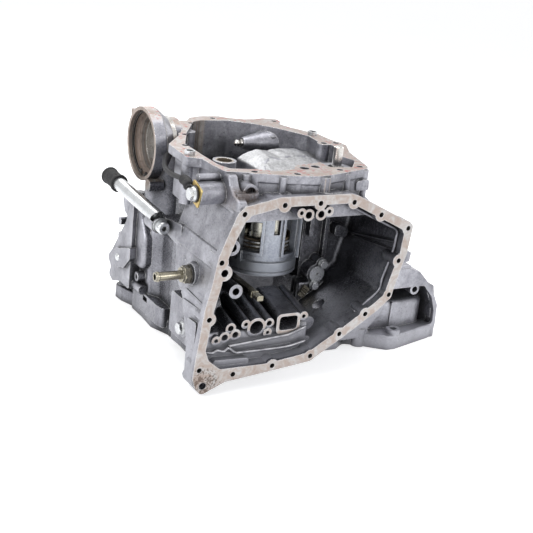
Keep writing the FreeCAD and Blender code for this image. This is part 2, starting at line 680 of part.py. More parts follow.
def chamber_inside():
    roof_z = DECK_TOP_Z - DECK_THICKNESS
    behind_bay = box(Vec(-300, BAY_BACK_Y + WALL, 0), Vec(300, 300, 300))
    well = box(Vec(-300, WELL_FRONT_Y, 0), Vec(300, 300, 300))
    drum_wall = rod(DRUM_BAY_RADIUS + WALL, Vec(0, 0, FLOOR_TOP_Z - OVERCUT), Z_AXIS, roof_z)
    lower_room = slab(CHAMBER_MOUTH, CORNER, floor_view, FLOOR_TOP_Z, roof_z)
    deep_well = slab(CHAMBER_MOUTH, CORNER, floor_view, FLOOR_TOP_Z, TOP_FACE_Z + OVERCUT)
    upper_room = slab(UPPER_MOUTH, CORNER, floor_view, DECK_TOP_Z, TOP_FACE_Z + OVERCUT)
    return [
        soft_rim(upper_room, floor_view, DECK_TOP_Z, SOFT),
        lower_room.common(behind_bay).cut(drum_wall),
        deep_well.common(well),
        rod(DRUM_BAY_RADIUS, Vec(0, 0, FLOOR_TOP_Z), Z_AXIS, roof_z - FLOOR_TOP_Z),
        rod(DECK_HOLE_RADIUS, Vec(0, 0, roof_z - OVERCUT), Z_AXIS, DECK_THICKNESS + 2 * OVERCUT),
    ]


def lower_outside():
    bosses = [
        rod(LOWER_BOSS_RADIUS, Vec(x, y, 0), Z_AXIS, LOWER_BOSS_HEIGHT) for x, y in LOWER_HOLES
    ]
    flange = slab(LOWER_OUTLINE, 8, floor_view, 0, LOWER_FLANGE)
    body = slab(LOWER_BODY, 10, floor_view, 0, LOWER_BODY_TOP)
    hood = slab(HOOD, 6, front_view, HOOD_FRONT_Y, HOOD_BACK_Y)
    apron = slab(APRON, 8, floor_view, 0, APRON_TOP_Z)
    hood = soft_rim(hood, front_view, HOOD_FRONT_Y, SOFT_SMALL)
    return [
        soft_rim(flange, floor_view, LOWER_FLANGE, SOFT_SMALL),
        soft_rim(body, floor_view, LOWER_BODY_TOP, SOFT),
        soft_rim(hood, front_view, HOOD_BACK_Y, SOFT),
        soft_rim(apron, floor_view, APRON_TOP_Z, SOFT),
    ] + bosses


def lower_inside():
    split_y = BAY_BACK_Y + WALL
    back = box(Vec(-300, split_y, -10), Vec(300, 300, 300))
    front = box(Vec(-300, -300, -10), Vec(300, split_y + OVERCUT, 300))
    deep = slab(LOWER_MOUTH, 8, floor_view, -OVERCUT, FLOOR_TOP_Z - FLOOR_THICKNESS)
    shallow = slab(LOWER_MOUTH, 8, floor_view, -OVERCUT, UNDERFLOOR_TOP_Z)
    hood = slab(HOOD_INSIDE, 6, front_view, HOOD_FRONT_Y + HOOD_WALL, HOOD_BACK_Y - HOOD_WALL)
    hood_mouth = box(Vec(-300, -300, -10), Vec(300, LOBE_MOUTH_FRONT_Y, LOWER_FLANGE))
    apron = slab(APRON_INSIDE, 8, floor_view, -OVERCUT, APRON_TOP_Z - HOOD_WALL)
    drum_hole_height = FLOOR_TOP_Z + OVERCUT - UNDERFLOOR_TOP_Z + OVERCUT
    drum_hole = rod(
        DRUM_HOLE_RADIUS, Vec(0, 0, UNDERFLOOR_TOP_Z - OVERCUT), Z_AXIS, drum_hole_height
    )
    return [
        deep.common(back),
        shallow.common(front),
        hood.cut(hood_mouth),
        apron,
        drum_hole,
        slab(WINDOW, 5, front_view, HOOD_FRONT_Y - OVERCUT, HOOD_FRONT_Y + HOOD_WALL + OVERCUT),
    ]


def axle_point(x):
    return Vec(x, AXLE_CENTRE[0], AXLE_CENTRE[1])


def axle_outside():
    collar_end = AXLE_FACE_X + AXLE_COLLAR_LENGTH
    cone_length = 16.0
    neck_start = collar_end + cone_length - OVERCUT
    collar = rod(AXLE_COLLAR_RADIUS, axle_point(AXLE_FACE_X), X_AXIS, AXLE_COLLAR_LENGTH)
    collar = collar.makeFillet(3.0, [collar.Edges[0]])
    cone = Part.makeCone(
        AXLE_COLLAR_RADIUS - 1, AXLE_NECK_RADIUS, cone_length, axle_point(collar_end), X_AXIS
    )
    neck = rod(AXLE_NECK_RADIUS, axle_point(neck_start), X_AXIS, AXLE_NECK_END_X - neck_start)
    above_flange = box(Vec(-72, -300, TOP_FACE_Z), Vec(300, 300, 400))
    nib = rod(5.0, axle_point(AXLE_FACE_X) + Vec(0, 34, 34), X_AXIS, AXLE_COLLAR_LENGTH)
    elbow = rod(AXLE_NECK_RADIUS - 2, Vec(-78, 122, LOWER_FLANGE), Z_AXIS, 210)
    return [collar.fuse([cone, neck, nib]).cut(above_flange), elbow]


def axle_inside():
    bore = rod(
        AXLE_BORE_RADIUS, axle_point(AXLE_FACE_X - OVERCUT), X_AXIS, AXLE_BORE_DEPTH + OVERCUT
    )
    seat = rod(AXLE_RACE_SEAT_RADIUS, axle_point(AXLE_FACE_X), X_AXIS, AXLE_RACE_SEAT_DEPTH)
    wide = rod(AXLE_SHOULDER_RADIUS, axle_point(AXLE_FACE_X), X_AXIS, AXLE_SHOULDER_DEPTH)
    through_length = AXLE_NECK_END_X + 20 - AXLE_FACE_X
    through = rod(AXLE_DEEP_RADIUS, axle_point(AXLE_FACE_X), X_AXIS, through_length)
    groove = rod(
        AXLE_BORE_RADIUS + AXLE_GROOVE_DEPTH,
        axle_point(AXLE_FACE_X + AXLE_GROOVE_PLACE), X_AXIS, AXLE_GROOVE_WIDTH,
    )
    return [bore, seat, wide, through, groove]


# Bosses of the bay flange, trimmed to its outline
def bay_bosses():
    limit = slab(BAY_OUTLINE, CORNER, front_view, BAY_FACE_Y, BAY_FACE_Y + BAY_BOSS_LENGTH)
    corner_limit = slab(
        BAY_OUTLINE, CORNER, front_view, BAY_FACE_Y, BAY_FACE_Y + CORNER_BOSS_LENGTH
    )
    bosses = [
        rod(BAY_BOSS_RADIUS, Vec(x, BAY_FACE_Y, z), Y_AXIS, BAY_BOSS_LENGTH).common(limit)
        for x, z in BAY_HOLES
    ]
    dowel_x, dowel_z = BAY_DOWEL_HOLE
    pad = rod(BAY_BOSS_RADIUS + 1, Vec(dowel_x, BAY_FACE_Y, dowel_z), Y_AXIS, BAY_BOSS_LENGTH)
    corner_x, corner_z = BAY_CORNER_HOLE
    corner = rod(CORNER_BOSS_RADIUS, Vec(corner_x, BAY_FACE_Y, corner_z), Y_AXIS, CORNER_BOSS_LENGTH)
    return bosses + [pad.common(limit), corner.common(corner_limit)]


def bay_drillings():
    holes = [
        rod(BAY_HOLE_RADIUS, Vec(x, BAY_FACE_Y - OVERCUT, z), Y_AXIS, BAY_HOLE_DEPTH + OVERCUT)
        for x, z in BAY_HOLES
    ]
    corner_x, corner_z = BAY_CORNER_HOLE
    dowel_x, dowel_z = BAY_DOWEL_HOLE
    corner = rod(
        CORNER_HOLE_RADIUS, Vec(corner_x, BAY_FACE_Y, corner_z), Y_AXIS, CORNER_HOLE_DEPTH
    )
    dowel = rod(CORNER_HOLE_RADIUS, Vec(dowel_x, BAY_FACE_Y, dowel_z), Y_AXIS, DOWEL_HOLE_DEPTH)
    return holes + [corner, dowel]


# Direction in which the lower oil galleries run back from their ports
def gallery_axis():
    return Vec(0, 1, PORT_RISE).normalize()


def lower_ports():
    axis = gallery_axis()
    block = slab(PORT_BLOCK, 5, side_view, PORT_BLOCK_X[0], PORT_BLOCK_X[1])
    block = soft_rim(block, side_view, PORT_BLOCK_X[1], SOFT_SMALL)
    galleries = [
        rod(outer, Vec(x, PORT_FACE_Y, z), axis, PORT_LENGTH) for x, z, outer, hole in LOWER_PORTS
    ]
    x, z = PASSAGE_CENTRE
    wide, high = PASSAGE_OUTER
    outline = [
        (x - wide / 2, z - high / 2), (x + wide / 2, z - high / 2),
        (x + wide / 2, z + high / 2), (x - wide / 2, z + high / 2),
    ]
    start = [front_view(u, v, PORT_FACE_Y) for u, v in outline]
    passage = Part.Face(rounded_wire(start, 6)).extrude(axis * PORT_LENGTH)
    end_lobe = rod(10.0, Vec(x + wide / 2 + 14, PORT_FACE_Y + 6, z - 6), axis, PORT_LENGTH)
    return [block, passage, end_lobe] + galleries


def lower_port_holes():
    axis = gallery_axis()
    back = axis * -OVERCUT
    holes = [
        rod(hole, Vec(x, PORT_FACE_Y, z) + back * 3, axis, PORT_DEPTH)
        for x, z, outer, hole in LOWER_PORTS
    ]
    x, z = PASSAGE_CENTRE
    wide, high = PASSAGE_INNER
    outline = [
        (x - wide / 2, z - high / 2), (x + wide / 2, z - high / 2),
        (x + wide / 2, z + high / 2), (x - wide / 2, z + high / 2),
    ]
    start = [front_view(u, v, PORT_FACE_Y - 3 * OVERCUT) for u, v in outline]
    return holes + [Part.Face(rounded_wire(start, 4)).extrude(axis * PORT_DEPTH)]


# What stands above the port face is milled flat
def in_front_of_ports():
    return box(Vec(-118, BAY_FACE_Y, 50), Vec(24, PORT_FACE_Y, 100))


def upper_ports():
    return [
        rod(outer, Vec(x, UPPER_PORT_FACE_Y, z), Y_AXIS, UPPER_PORT_LENGTH)
        for x, z, outer, hole in UPPER_PORTS
    ]


def upper_port_holes():
    return [
        rod(hole, Vec(x, UPPER_PORT_FACE_Y - OVERCUT, z), Y_AXIS, PORT_DEPTH)
        for x, z, outer, hole in UPPER_PORTS
    ]


# Steps and ribs cast in the bay's floor and walls
def bay_floor_ribs():
    steps = [
        slab(outline, corner, front_view, front_y, BAY_STEP_BACK_Y)
        for outline, corner, front_y in BAY_STEPS
    ]
    wall_ribs = [
        slab(outline, corner, front_view, front_y, BAY_BACK_Y)
        for outline, corner, front_y in BAY_WALL_RIBS
    ]
    return steps + wall_ribs


def bay_inner_bosses():
    selector_x, selector_z = SELECTOR_PLACE
    selector = rod(
        SELECTOR_BOSS_RADIUS, Vec(selector_x, SELECTOR_BOSS_FRONT_Y, selector_z), Y_AXIS,
        SELECTOR_BACK_Y + 6 - SELECTOR_BOSS_FRONT_Y,
    )
    tubes = [
        rod(radius, place, Y_AXIS, length) for place, radius, length, hole, depth in BAY_TUBES
    ]
    pillar = slab(COVER_PILLAR, 3, floor_view, 62, COVER_PILLAR_TOP_Z)
    pillar = soft_rim(pillar, floor_view, COVER_PILLAR_TOP_Z, SOFT_SMALL)
    boss_x, boss_z = COVER_CENTRE
    boss = [rod(COVER_BOSS_RADIUS, Vec(boss_x, COVER_FACE_Y, boss_z), Y_AXIS, -COVER_FACE_Y)]
    boss += [
        rod(COVER_BOSS_EAR_RADIUS, Vec(x, COVER_FACE_Y, z), Y_AXIS, -COVER_FACE_Y)
        for x, z in COVER_BOLTS
    ]
    return tubes + boss + [selector, pillar]


def bay_inner_holes():
    selector_x, selector_z = SELECTOR_PLACE
    selector = rod(
        SELECTOR_RADIUS + RUNNING_CLEARANCE,
        Vec(selector_x, SELECTOR_BOSS_FRONT_Y - OVERCUT, selector_z), Y_AXIS,
        SELECTOR_BACK_Y - SELECTOR_BOSS_FRONT_Y + 2 * OVERCUT,
    )
    tubes = [
        rod(hole, place - Y_AXIS * OVERCUT, Y_AXIS, depth)
        for place, radius, length, hole, depth in BAY_TUBES
    ]
    floor_hole = rod(FLOOR_HOLE_RADIUS, FLOOR_HOLE, Z_AXIS, 40)
    bolts = [
        rod(M6_RADIUS, Vec(x, COVER_FACE_Y - OVERCUT, z), Y_AXIS, COVER_HOLE_DEPTH)
        for x, z in COVER_BOLTS
    ]
    return tubes + bolts + [selector, floor_hole]


# The inclined web inside the chamber, with its wavy upper edge
def chamber_web():
    wide = slab(WEB_RIDGE, 4, front_view, -90, 70)
    long = slab(WEB_SLOPE, 3, side_view, -40, 110)
    return wide.common(long)


def chamber_bosses():
    side_x, side_y = SIDE_BOSS_PLACE
    pivot_x, pivot_y = PIVOT_PLACE
    tall_x, tall_y = TALL_BOSS_PLACE
    deck_z = DECK_TOP_Z - OVERCUT
    cone_y, cone_z = BALL_PIN_PLACE
    side = rod(SIDE_BOSS_RADIUS, Vec(side_x, side_y, deck_z), Z_AXIS, SIDE_BOSS_TOP_Z - deck_z)
    pivot = rod(PIVOT_BOSS_RADIUS, Vec(pivot_x, pivot_y, deck_z), Z_AXIS, PIVOT_BOSS_TOP_Z - deck_z)
    tall = rod(TALL_BOSS_RADIUS, Vec(tall_x, tall_y, deck_z), Z_AXIS, TOP_FACE_Z - deck_z)
    cone = Part.makeCone(*CONE_RADII, CONE_LENGTH, Vec(CONE_SEAT_X, cone_y, cone_z), X_AXIS)
    below_flange = box(Vec(-300, -300, 0), Vec(300, 300, TOP_FACE_Z - 4))
    pair = [
        rod(radius, Vec(x, y, deck_z), Z_AXIS, TOP_FACE_Z - deck_z)
        for x, y, radius, hole in GALLERY_PAIR
    ]
    pillars = [
        rod(radius, Vec(x, y, WELL_PILLAR_FOOT_Z), Z_AXIS, height)
        for x, y, radius, height in WELL_PILLARS
    ]
    return [side, pivot, tall, cone.common(below_flange)] + pair + pillars


def chamber_holes():
    side_x, side_y = SIDE_BOSS_PLACE
    pivot_x, pivot_y = PIVOT_PLACE
    top = TOP_FACE_Z + OVERCUT
    pocket_foot = PIVOT_BOSS_TOP_Z - PIVOT_POCKET_DEPTH
    hole_foot = TOP_FACE_Z - TOP_HOLE_DEPTH
    holes = [
        rod(TOP_HOLE_RADIUS, Vec(x, y, hole_foot), Z_AXIS, TOP_HOLE_DEPTH + OVERCUT)
        for x, y in TOP_HOLES
    ]
    dowel_foot = TOP_FACE_Z - DOWEL_LENGTH + DOWEL_STANDS
    dowels = [
        rod(DOWEL_OUTER, Vec(*TOP_HOLES[index], dowel_foot), Z_AXIS, DOWEL_LENGTH)
        for index in TOP_DOWEL_HOLES
    ]
    galleries = [
        rod(hole, Vec(x, y, GALLERY_HOLE_FOOT_Z), Z_AXIS, top - GALLERY_HOLE_FOOT_Z)
        for x, y, radius, hole in GALLERY_PAIR + [(*TALL_BOSS_PLACE, TALL_BOSS_RADIUS, TALL_BOSS_HOLE)]
    ]
    return holes + dowels + galleries + [
        rod(SIDE_BUSH_OUTER, Vec(side_x, side_y, SIDE_BOSS_TOP_Z - SIDE_BUSH_LENGTH), Z_AXIS, 40),
        rod(PIVOT_POCKET_RADIUS, Vec(pivot_x, pivot_y, pocket_foot), Z_AXIS, 60),
        rod(PIVOT_RADIUS, Vec(pivot_x, pivot_y, pocket_foot - PIVOT_SEAT_DEPTH), Z_AXIS, 30),
        ball_pin_seat(),
    ]


# A recess around the pivot boss, below the level of the top face
def corner_recess():
    foot = TOP_FACE_Z - CORNER_RECESS_DEPTH
    recess = slab(CORNER_RECESS, 6, floor_view, foot, TOP_FACE_Z + OVERCUT)
    pivot_x, pivot_y = PIVOT_PLACE
    boss = rod(PIVOT_BOSS_RADIUS, Vec(pivot_x, pivot_y, 200), Z_AXIS, PIVOT_BOSS_TOP_Z - 200)
    return recess.cut(boss)


def ball_pin_seat():
    y, z = BALL_PIN_PLACE
    start_x = CONE_SEAT_X - OVERCUT
    return rod(BALL_PIN_RADIUS, Vec(start_x, y, z), X_AXIS, BALL_PIN_END_X - start_x)


def lower_drillings():
    return [
        rod(LOWER_HOLE_RADIUS, Vec(x, y, -OVERCUT), Z_AXIS, LOWER_BOSS_HEIGHT + 2 * OVERCUT)
        for x, y in LOWER_HOLES
    ]


def bulge():
    outer = slab(BULGE, 26, floor_view, 0, BULGE_HEIGHT)
    rim = [edge for edge in outer.Edges if edge.BoundBox.ZMin > BULGE_HEIGHT - 0.1]
    outer = outer.makeFillet(BULGE_ROUNDING, rim)
    core = slab(BULGE_INSIDE, 20, floor_view, -OVERCUT, BULGE_HEIGHT - WALL)
    seam = slab([(185, 8), (188, 8), (188, 57), (185, 57)], 1, front_view, -54.5, -40)
    boss_x, boss_z = WINDOW_BOSS
    window_boss = rod(WINDOW_BOSS_RADIUS, Vec(boss_x, HOOD_FRONT_Y, boss_z), Y_AXIS, 18)
    window_hole = rod(WINDOW_BOSS_HOLE, Vec(boss_x, HOOD_FRONT_Y - OVERCUT, boss_z), Y_AXIS, 16)
    return outer.fuse(seam).cut(core), window_boss, window_hole


# Ribs, bosses and pads on the left of the casting
def left_outside():
    barb_y, barb_z = BARB_PLACE
    clamp_y, clamp_z = CLAMP_BOSS_PLACE
    saddle_x, saddle_z = SADDLE_PLACE
    bolt_y, bolt_z = SIDE_BOLT_PLACE
    ear_y, ear_z = EAR_PLACE
    wide, deep = BARB_SEAT_CONE
    seat = Part.makeCone(wide, SEAL_RADIUS + 2, deep, Vec(BARB_SEAT_X + deep, barb_y, barb_z), TO_LEFT)
    clamp_face = Vec(CLAMP_BOSS_FACE_X, clamp_y, clamp_z)
    clamp = rod(CLAMP_BOSS_RADIUS, clamp_face, X_AXIS, BOSS_RUN)
    small = rod(SMALL_STUB_RADIUS, clamp_face + SMALL_STUB_OFFSET, X_AXIS, BOSS_RUN - SMALL_STUB_OFFSET.x)
    saddle = rod(
        SADDLE_RADIUS, Vec(saddle_x, SADDLE_FRONT_Y, saddle_z), Y_AXIS,
        SADDLE_BACK_Y - SADDLE_FRONT_Y,
    )
    saddle_arm = slab(
        [(SADDLE_FRONT_Y + 2, saddle_z - 9), (SADDLE_BACK_Y, saddle_z - 9),
         (SADDLE_BACK_Y, saddle_z + 6), (SADDLE_FRONT_Y + 2, saddle_z + 6)],
        3, side_view, saddle_x, RECESS_X - 2,
    )
    web_foot, web_head = SADDLE_WEB_FRONT
    saddle_web = slab(
        [web_foot, (SADDLE_BACK_Y, saddle_z - 8), (SADDLE_BACK_Y, saddle_z + 4), web_head],
        4, side_view, SADDLE_WEB_X, RECESS_X - 2,
    )
    gusset = slab(GUSSET, 6, side_view, GUSSET_X[0], GUSSET_X[1])
    gusset = soft_rim(gusset, side_view, GUSSET_X[0], SOFT_SMALL)
    foot = slab(GUSSET_FOOT, 4, floor_view, GUSSET_FOOT_Z[0], GUSSET_FOOT_Z[1])
    ring_end = rod(RING_END_RADIUS, RING_END, Y_AXIS, RING_END_LENGTH)
    band = slab(BAND, 1.5, front_view, BAND_Y[0], BAND_Y[1])
    bolt_foot = Vec(SIDE_BOLT_FACE_X + SIDE_BOLT_CONE[2], bolt_y, bolt_z)
    bolt_pad = Part.makeCone(*SIDE_BOLT_CONE, bolt_foot, TO_LEFT)
    stub = Part.makeCone(*STUB_CONE, STUB_PLACE, X_AXIS)
    bead = rod(LEFT_BEAD_RADIUS, LEFT_BEAD, Y_AXIS, LEFT_BEAD_LENGTH)
    column = slab(LEFT_COLUMN, 12, side_view, LEFT_COLUMN_X, RECESS_X)
    column = soft_rim(column, side_view, LEFT_COLUMN_X, SOFT)
    fin = slab(LEFT_FIN, 4, side_view, LEFT_FIN_X, RECESS_X)
    ear = rod(EAR_RADIUS, Vec(EAR_FACE_X, ear_y, ear_z), X_AXIS, EAR_THICKNESS)
    ear_arm = slab(EAR_ARM, 3, side_view, EAR_FACE_X, EAR_FACE_X + EAR_THICKNESS)
    slabs = [slab(outline, corner, side_view, low, high) for outline, corner, low, high in LEFT_SLABS]
    rounds = [rod(radius, place, X_AXIS, length) for place, radius, length in LEFT_ROUNDS]
    ledges = [slab(outline, corner, floor_view, low, high) for outline, corner, low, high in LEFT_LEDGES]
    return slabs + rounds + ledges + [
        seat, clamp, small, saddle, saddle_arm, saddle_web, gusset, foot, ring_end, band, bolt_pad,
        stub, bead, column, fin, ear, ear_arm,
    ]


def left_holes():
    barb_y, barb_z = BARB_PLACE
    clamp_y, clamp_z = CLAMP_BOSS_PLACE
    saddle_x, saddle_z = SADDLE_PLACE
    bolt_y, bolt_z = SIDE_BOLT_PLACE
    ear_y, ear_z = EAR_PLACE
    arm_end = Vec(*ARM_POINTS[-1])
    arm_run = arm_end - Vec(*ARM_POINTS[-2])
    return [
        rod(BARB_THREAD_RADIUS, Vec(BARB_SEAT_X - OVERCUT, barb_y, barb_z), X_AXIS, 24),
        rod(M8_RADIUS, Vec(CLAMP_BOSS_FACE_X - OVERCUT, clamp_y, clamp_z), X_AXIS, 26),
        rod(TUBE_RADIUS, TUBE_START, TUBE_AXIS, TUBE_LENGTH),
        rod(SCREW_RADIUS, Vec(saddle_x, SADDLE_FRONT_Y - OVERCUT, saddle_z), Y_AXIS, SCREW_LENGTH),
        Part.makeCylinder(ARM_RADIUS, arm_run.Length, Vec(*ARM_POINTS[-2]), arm_run),
        rod(M8_RADIUS, Vec(SIDE_BOLT_FACE_X - OVERCUT, bolt_y, bolt_z), X_AXIS, 24),
        rod(STUB_HOLE, STUB_PLACE - X_AXIS * OVERCUT, X_AXIS, 14),
        rod(EAR_PIN_RADIUS, Vec(EAR_FACE_X, ear_y, ear_z), X_AXIS, EAR_PIN_LENGTH),
        rod(RING_END_HOLE, RING_END - Y_AXIS * OVERCUT, Y_AXIS, 9),
    ] + [box(low, high) for low, high in LEFT_SLOTS]


# Ribs and humps in front of the chamber's wall, above the bay's roof
def front_outside():
    roof_y = BAY_FACE_Y + BAY_FLANGE - OVERCUT
    ribs = [
        rod(radius, Vec(x, y, FRONT_RIB_FOOT_Z), Z_AXIS, TOP_FACE_Z - 2 - FRONT_RIB_FOOT_Z)
        for x, y, radius in FRONT_RIBS
    ]
    humps = [
        rod(radius, Vec(x, roof_y, z), Y_AXIS, length) for x, z, radius, length in ROOF_HUMPS
    ]
    clip = slab(ROOF_CLIP, 3, floor_view, ROOF_CLIP_Z[0], ROOF_CLIP_Z[1])
    tab = slab(BAY_TAB, 2, front_view, BAY_FACE_Y + 2, BAY_FACE_Y + 16)
    shoulder = slab(BAY_SHOULDER, 6, front_view, BAY_SHOULDER_Y[0], BAY_SHOULDER_Y[1])
    pad = slab(FRONT_PAD, 3, front_view, FRONT_PAD_Y[0], FRONT_PAD_Y[1])
    return ribs + humps + [clip, tab, pad, shoulder.common(under_roof(2))]


# Ribs on the lobe's roof and on the back of the casting
def back_outside():
    lobe_ribs = [
        slab(outline, corner, front_view, front_y, back_y)
        for outline, corner, front_y, back_y in LOBE_RIBS
    ]
    lobe_lugs = [rod(radius, Vec(x, y, 0), Z_AXIS, height) for x, y, radius, height in LOBE_LUGS]
    upright = [
        box(Vec(x, BACK_RIB_Y[0], BACK_UPRIGHT_Z[0]),
            Vec(x + BACK_RIB_WIDTH, BACK_RIB_Y[1], BACK_UPRIGHT_Z[1]))
        for x in BACK_UPRIGHTS_X
    ]
    belts = [
        box(Vec(BACK_BELT_X[0], BACK_RIB_Y[0], z),
            Vec(BACK_BELT_X[1], BACK_RIB_Y[1] - 1, z + BACK_RIB_WIDTH))
        for z in BACK_BELTS_Z
    ]
    side = [
        box(Vec(RIGHT_RIB_X[0], y, RIGHT_RIB_Z[0]),
            Vec(RIGHT_RIB_X[1], y + BACK_RIB_WIDTH, RIGHT_RIB_Z[1]))
        for y in RIGHT_RIBS_Y
    ]
    return lobe_ribs + lobe_lugs + upright + belts + side


def main_case():
    outside = joined(
        bay_outside() + chamber_outside() + lower_outside() + axle_outside()
        + left_outside() + front_outside() + back_outside()
    )
    case = outside.cut([bay_inside()] + chamber_inside() + lower_inside())
    bulge_wall, window_boss, window_hole = bulge()
    inner = (
        bay_bosses() + lower_ports() + upper_ports() + bay_floor_ribs() + bay_inner_bosses()
        + chamber_bosses() + [chamber_web(), bulge_wall, window_boss]
    )
    case = case.multiFuse(inner)
    pocket_height = FLOOR_TOP_Z + OVERCUT - UNDERFLOOR_TOP_Z
    pocket_below = rod(DRUM_HOLE_RADIUS, Vec(0, 0, UNDERFLOOR_TOP_Z), Z_AXIS, pocket_height)
    drillings = (
        bay_drillings() + lower_port_holes() + upper_port_holes() + bay_inner_holes()
        + chamber_holes() + lower_drillings() + left_holes() + axle_inside()
        + drum_bolt_holes() + [in_front_of_ports(), corner_recess(), window_hole, pocket_below]
    )
    return case.cut(drillings)


# A block between two radii and two angles in degrees, standing on a level
def sector(inner, outer, start, end, low, high):
    middle = (start + end) / 2
    turns = [math.radians(angle) for angle in (start, middle, end)]
    near = [Vec(inner * math.cos(t), inner * math.sin(t), low) for t in turns]
    far = [Vec(outer * math.cos(t), outer * math.sin(t), low) for t in turns]
    edges = [
        Part.Arc(near[0], near[1], near[2]).toShape(),
        Part.LineSegment(near[2], far[2]).toShape(),
        Part.Arc(far[2], far[1], far[0]).toShape(),
        Part.LineSegment(far[0], near[0]).toShape(),
    ]
    return Part.Face(Part.Wire(edges)).extrude(Vec(0, 0, high - low))


# Cast cage that carries the clutch under the deck
def drum_cage():
    roof_z = DECK_TOP_Z - DECK_THICKNESS
    rim_top = DRUM_FOOT_Z + DRUM_RIM_HEIGHT
    inner = DRUM_RADIUS - DRUM_WALL
    lugs = [
        rod(DRUM_LUG_RADIUS, place - Z_AXIS * DRUM_FLANGE, Z_AXIS, DRUM_FLANGE)
        for place in drum_bolt_places()
    ]
    frames = [
        sector(inner + 1, DRUM_RADIUS + DRUM_FRAME_RISE, middle - half - DRUM_FRAME_ANGLE,
               middle + half + DRUM_FRAME_ANGLE, low - DRUM_FRAME_SILL, min(high + DRUM_FRAME_SILL, roof_z))
        for middle, half, low, high in DRUM_WINDOWS if half > DRUM_SLOT_ANGLE
    ]
    wall = rod(DRUM_RADIUS, Vec(0, 0, DRUM_FOOT_Z), Z_AXIS, roof_z - DRUM_FOOT_Z)
    rim = rod(DRUM_RADIUS + DRUM_RIM_GROW, Vec(0, 0, DRUM_FOOT_Z), Z_AXIS, DRUM_RIM_HEIGHT)
    rim = rim.makeChamfer(1.2, [rim.Edges[0], rim.Edges[2]])
    ribs = [
        sector(inner + 1, DRUM_RADIUS + 5, angle - 3, angle + 3, rim_top - 2, roof_z)
        for angle in DRUM_RIBS
    ]
    outer_groove = tube(
        DRUM_RADIUS + DRUM_RIM_GROW + 2, DRUM_RADIUS + 0.8, Vec(0, 0, DRUM_FOOT_Z + 5), Z_AXIS, 1.6
    )
    room = rod(inner, Vec(0, 0, DRUM_FOOT_Z + DRUM_FLOOR), Z_AXIS, roof_z)
    seat = rod(BEARING_RADIUS, Vec(0, 0, DRUM_FOOT_Z - OVERCUT), Z_AXIS, DRUM_FLOOR + 2 * OVERCUT)
    windows = [
        sector(inner - 4, DRUM_RADIUS + 8, middle - half, middle + half, low, high)
        for middle, half, low, high in DRUM_WINDOWS
    ]
    bolts = [
        rod(M6_RADIUS - 0.4, place - Z_AXIS * (DRUM_FLANGE + OVERCUT), Z_AXIS, DRUM_FLANGE + 2)
        for place in drum_bolt_places()
    ]
    cage = wall.fuse([rim] + ribs + frames + lugs)
    return cage.cut([room, seat, outer_groove] + windows + bolts)


def drum_bolt_places():
    roof_z = DECK_TOP_Z - DECK_THICKNESS
    turns = [math.radians(angle) for angle in DRUM_BOLT_ANGLES]
    return [
        Vec(DRUM_BOLT_CIRCLE * math.cos(t), DRUM_BOLT_CIRCLE * math.sin(t), roof_z) for t in turns
    ]


# Screws driven up through the cage's flange into the deck
def drum_bolts():
    screws = []
    for place in drum_bolt_places():
        seat = place - Z_AXIS * DRUM_FLANGE
        head = hex_head(8.0, seat, Z_AXIS * -1, 4.0)
        stem = rod(M6_RADIUS - 0.5, seat - Z_AXIS * 0.5, Z_AXIS, DRUM_FLANGE + 6.0)
        screws.append(head.fuse(stem))
    return Part.makeCompound(screws)


def drum_bolt_holes():
    return [rod(M6_RADIUS - 0.5, place - Z_AXIS, Z_AXIS, 7.0) for place in drum_bolt_places()]


def hub_bearing():
    return tube(
        BEARING_RADIUS, HUB_JOURNAL_RADIUS + RUNNING_CLEARANCE, Vec(0, 0, DRUM_FOOT_Z), Z_AXIS,
        DRUM_FLOOR,
    )


# Steel hub that turns inside the cage
def clutch_hub():
    body = rod(HUB_RADIUS, Vec(0, 0, HUB_FOOT_Z), Z_AXIS, HUB_TOP_Z - HUB_FOOT_Z)
    room = rod(HUB_RADIUS - HUB_WALL, Vec(0, 0, HUB_FOOT_Z + HUB_WALL), Z_AXIS, HUB_TOP_Z)
    journal = rod(
        HUB_JOURNAL_RADIUS, Vec(0, 0, DRUM_FOOT_Z - 2), Z_AXIS, HUB_FOOT_Z - DRUM_FOOT_Z + 3
    )
    core = rod(HUB_BORE_RADIUS + 6, Vec(0, 0, HUB_FOOT_Z + 1), Z_AXIS, HUB_TOP_Z + 6 - HUB_FOOT_Z)
    bore = rod(HUB_BORE_RADIUS, Vec(0, 0, 0), Z_AXIS, 300)
    step = 360 / HUB_SPLINES
    splines = [
        sector(HUB_RADIUS - 1, HUB_RADIUS + HUB_SPLINE, n * step, n * step + step * 0.45,
               HUB_FOOT_Z + 8, HUB_FOOT_Z + 40)
        for n in range(HUB_SPLINES)
    ]
    eyes = [
        rod(HUB_EYE_RADIUS, Vec(0, 0, HUB_EYE_Z),
            Vec(math.cos(math.radians(a)), math.sin(math.radians(a)), 0), 60)
        for a in range(15, 375, 60)
    ]
    shell = body.fuse(splines).cut([room] + eyes)
    return shell.fuse([journal, core]).cut(bore)


def friction_plates():
    rings = [
        tube(PLATE_RADIUS, HUB_RADIUS + HUB_SPLINE + PLATE_GAP,
             Vec(0, 0, FIRST_PLATE_Z + n * PLATE_PITCH), Z_AXIS, PLATE_THICKNESS)
        for n in range(PLATE_COUNT)
    ]
    return Part.makeCompound(rings)


def steel_plates():
    inner = DRUM_RADIUS - DRUM_WALL
    rings = [
        tube(inner - PLATE_GAP, HUB_RADIUS + HUB_SPLINE + 1.5,
             Vec(0, 0, FIRST_PLATE_Z + PLATE_THICKNESS + PLATE_GAP + n * PLATE_PITCH), Z_AXIS,
             PLATE_PITCH - PLATE_THICKNESS - 2 * PLATE_GAP)
        for n in range(PLATE_COUNT - 1)
    ]
    return Part.makeCompound(rings)


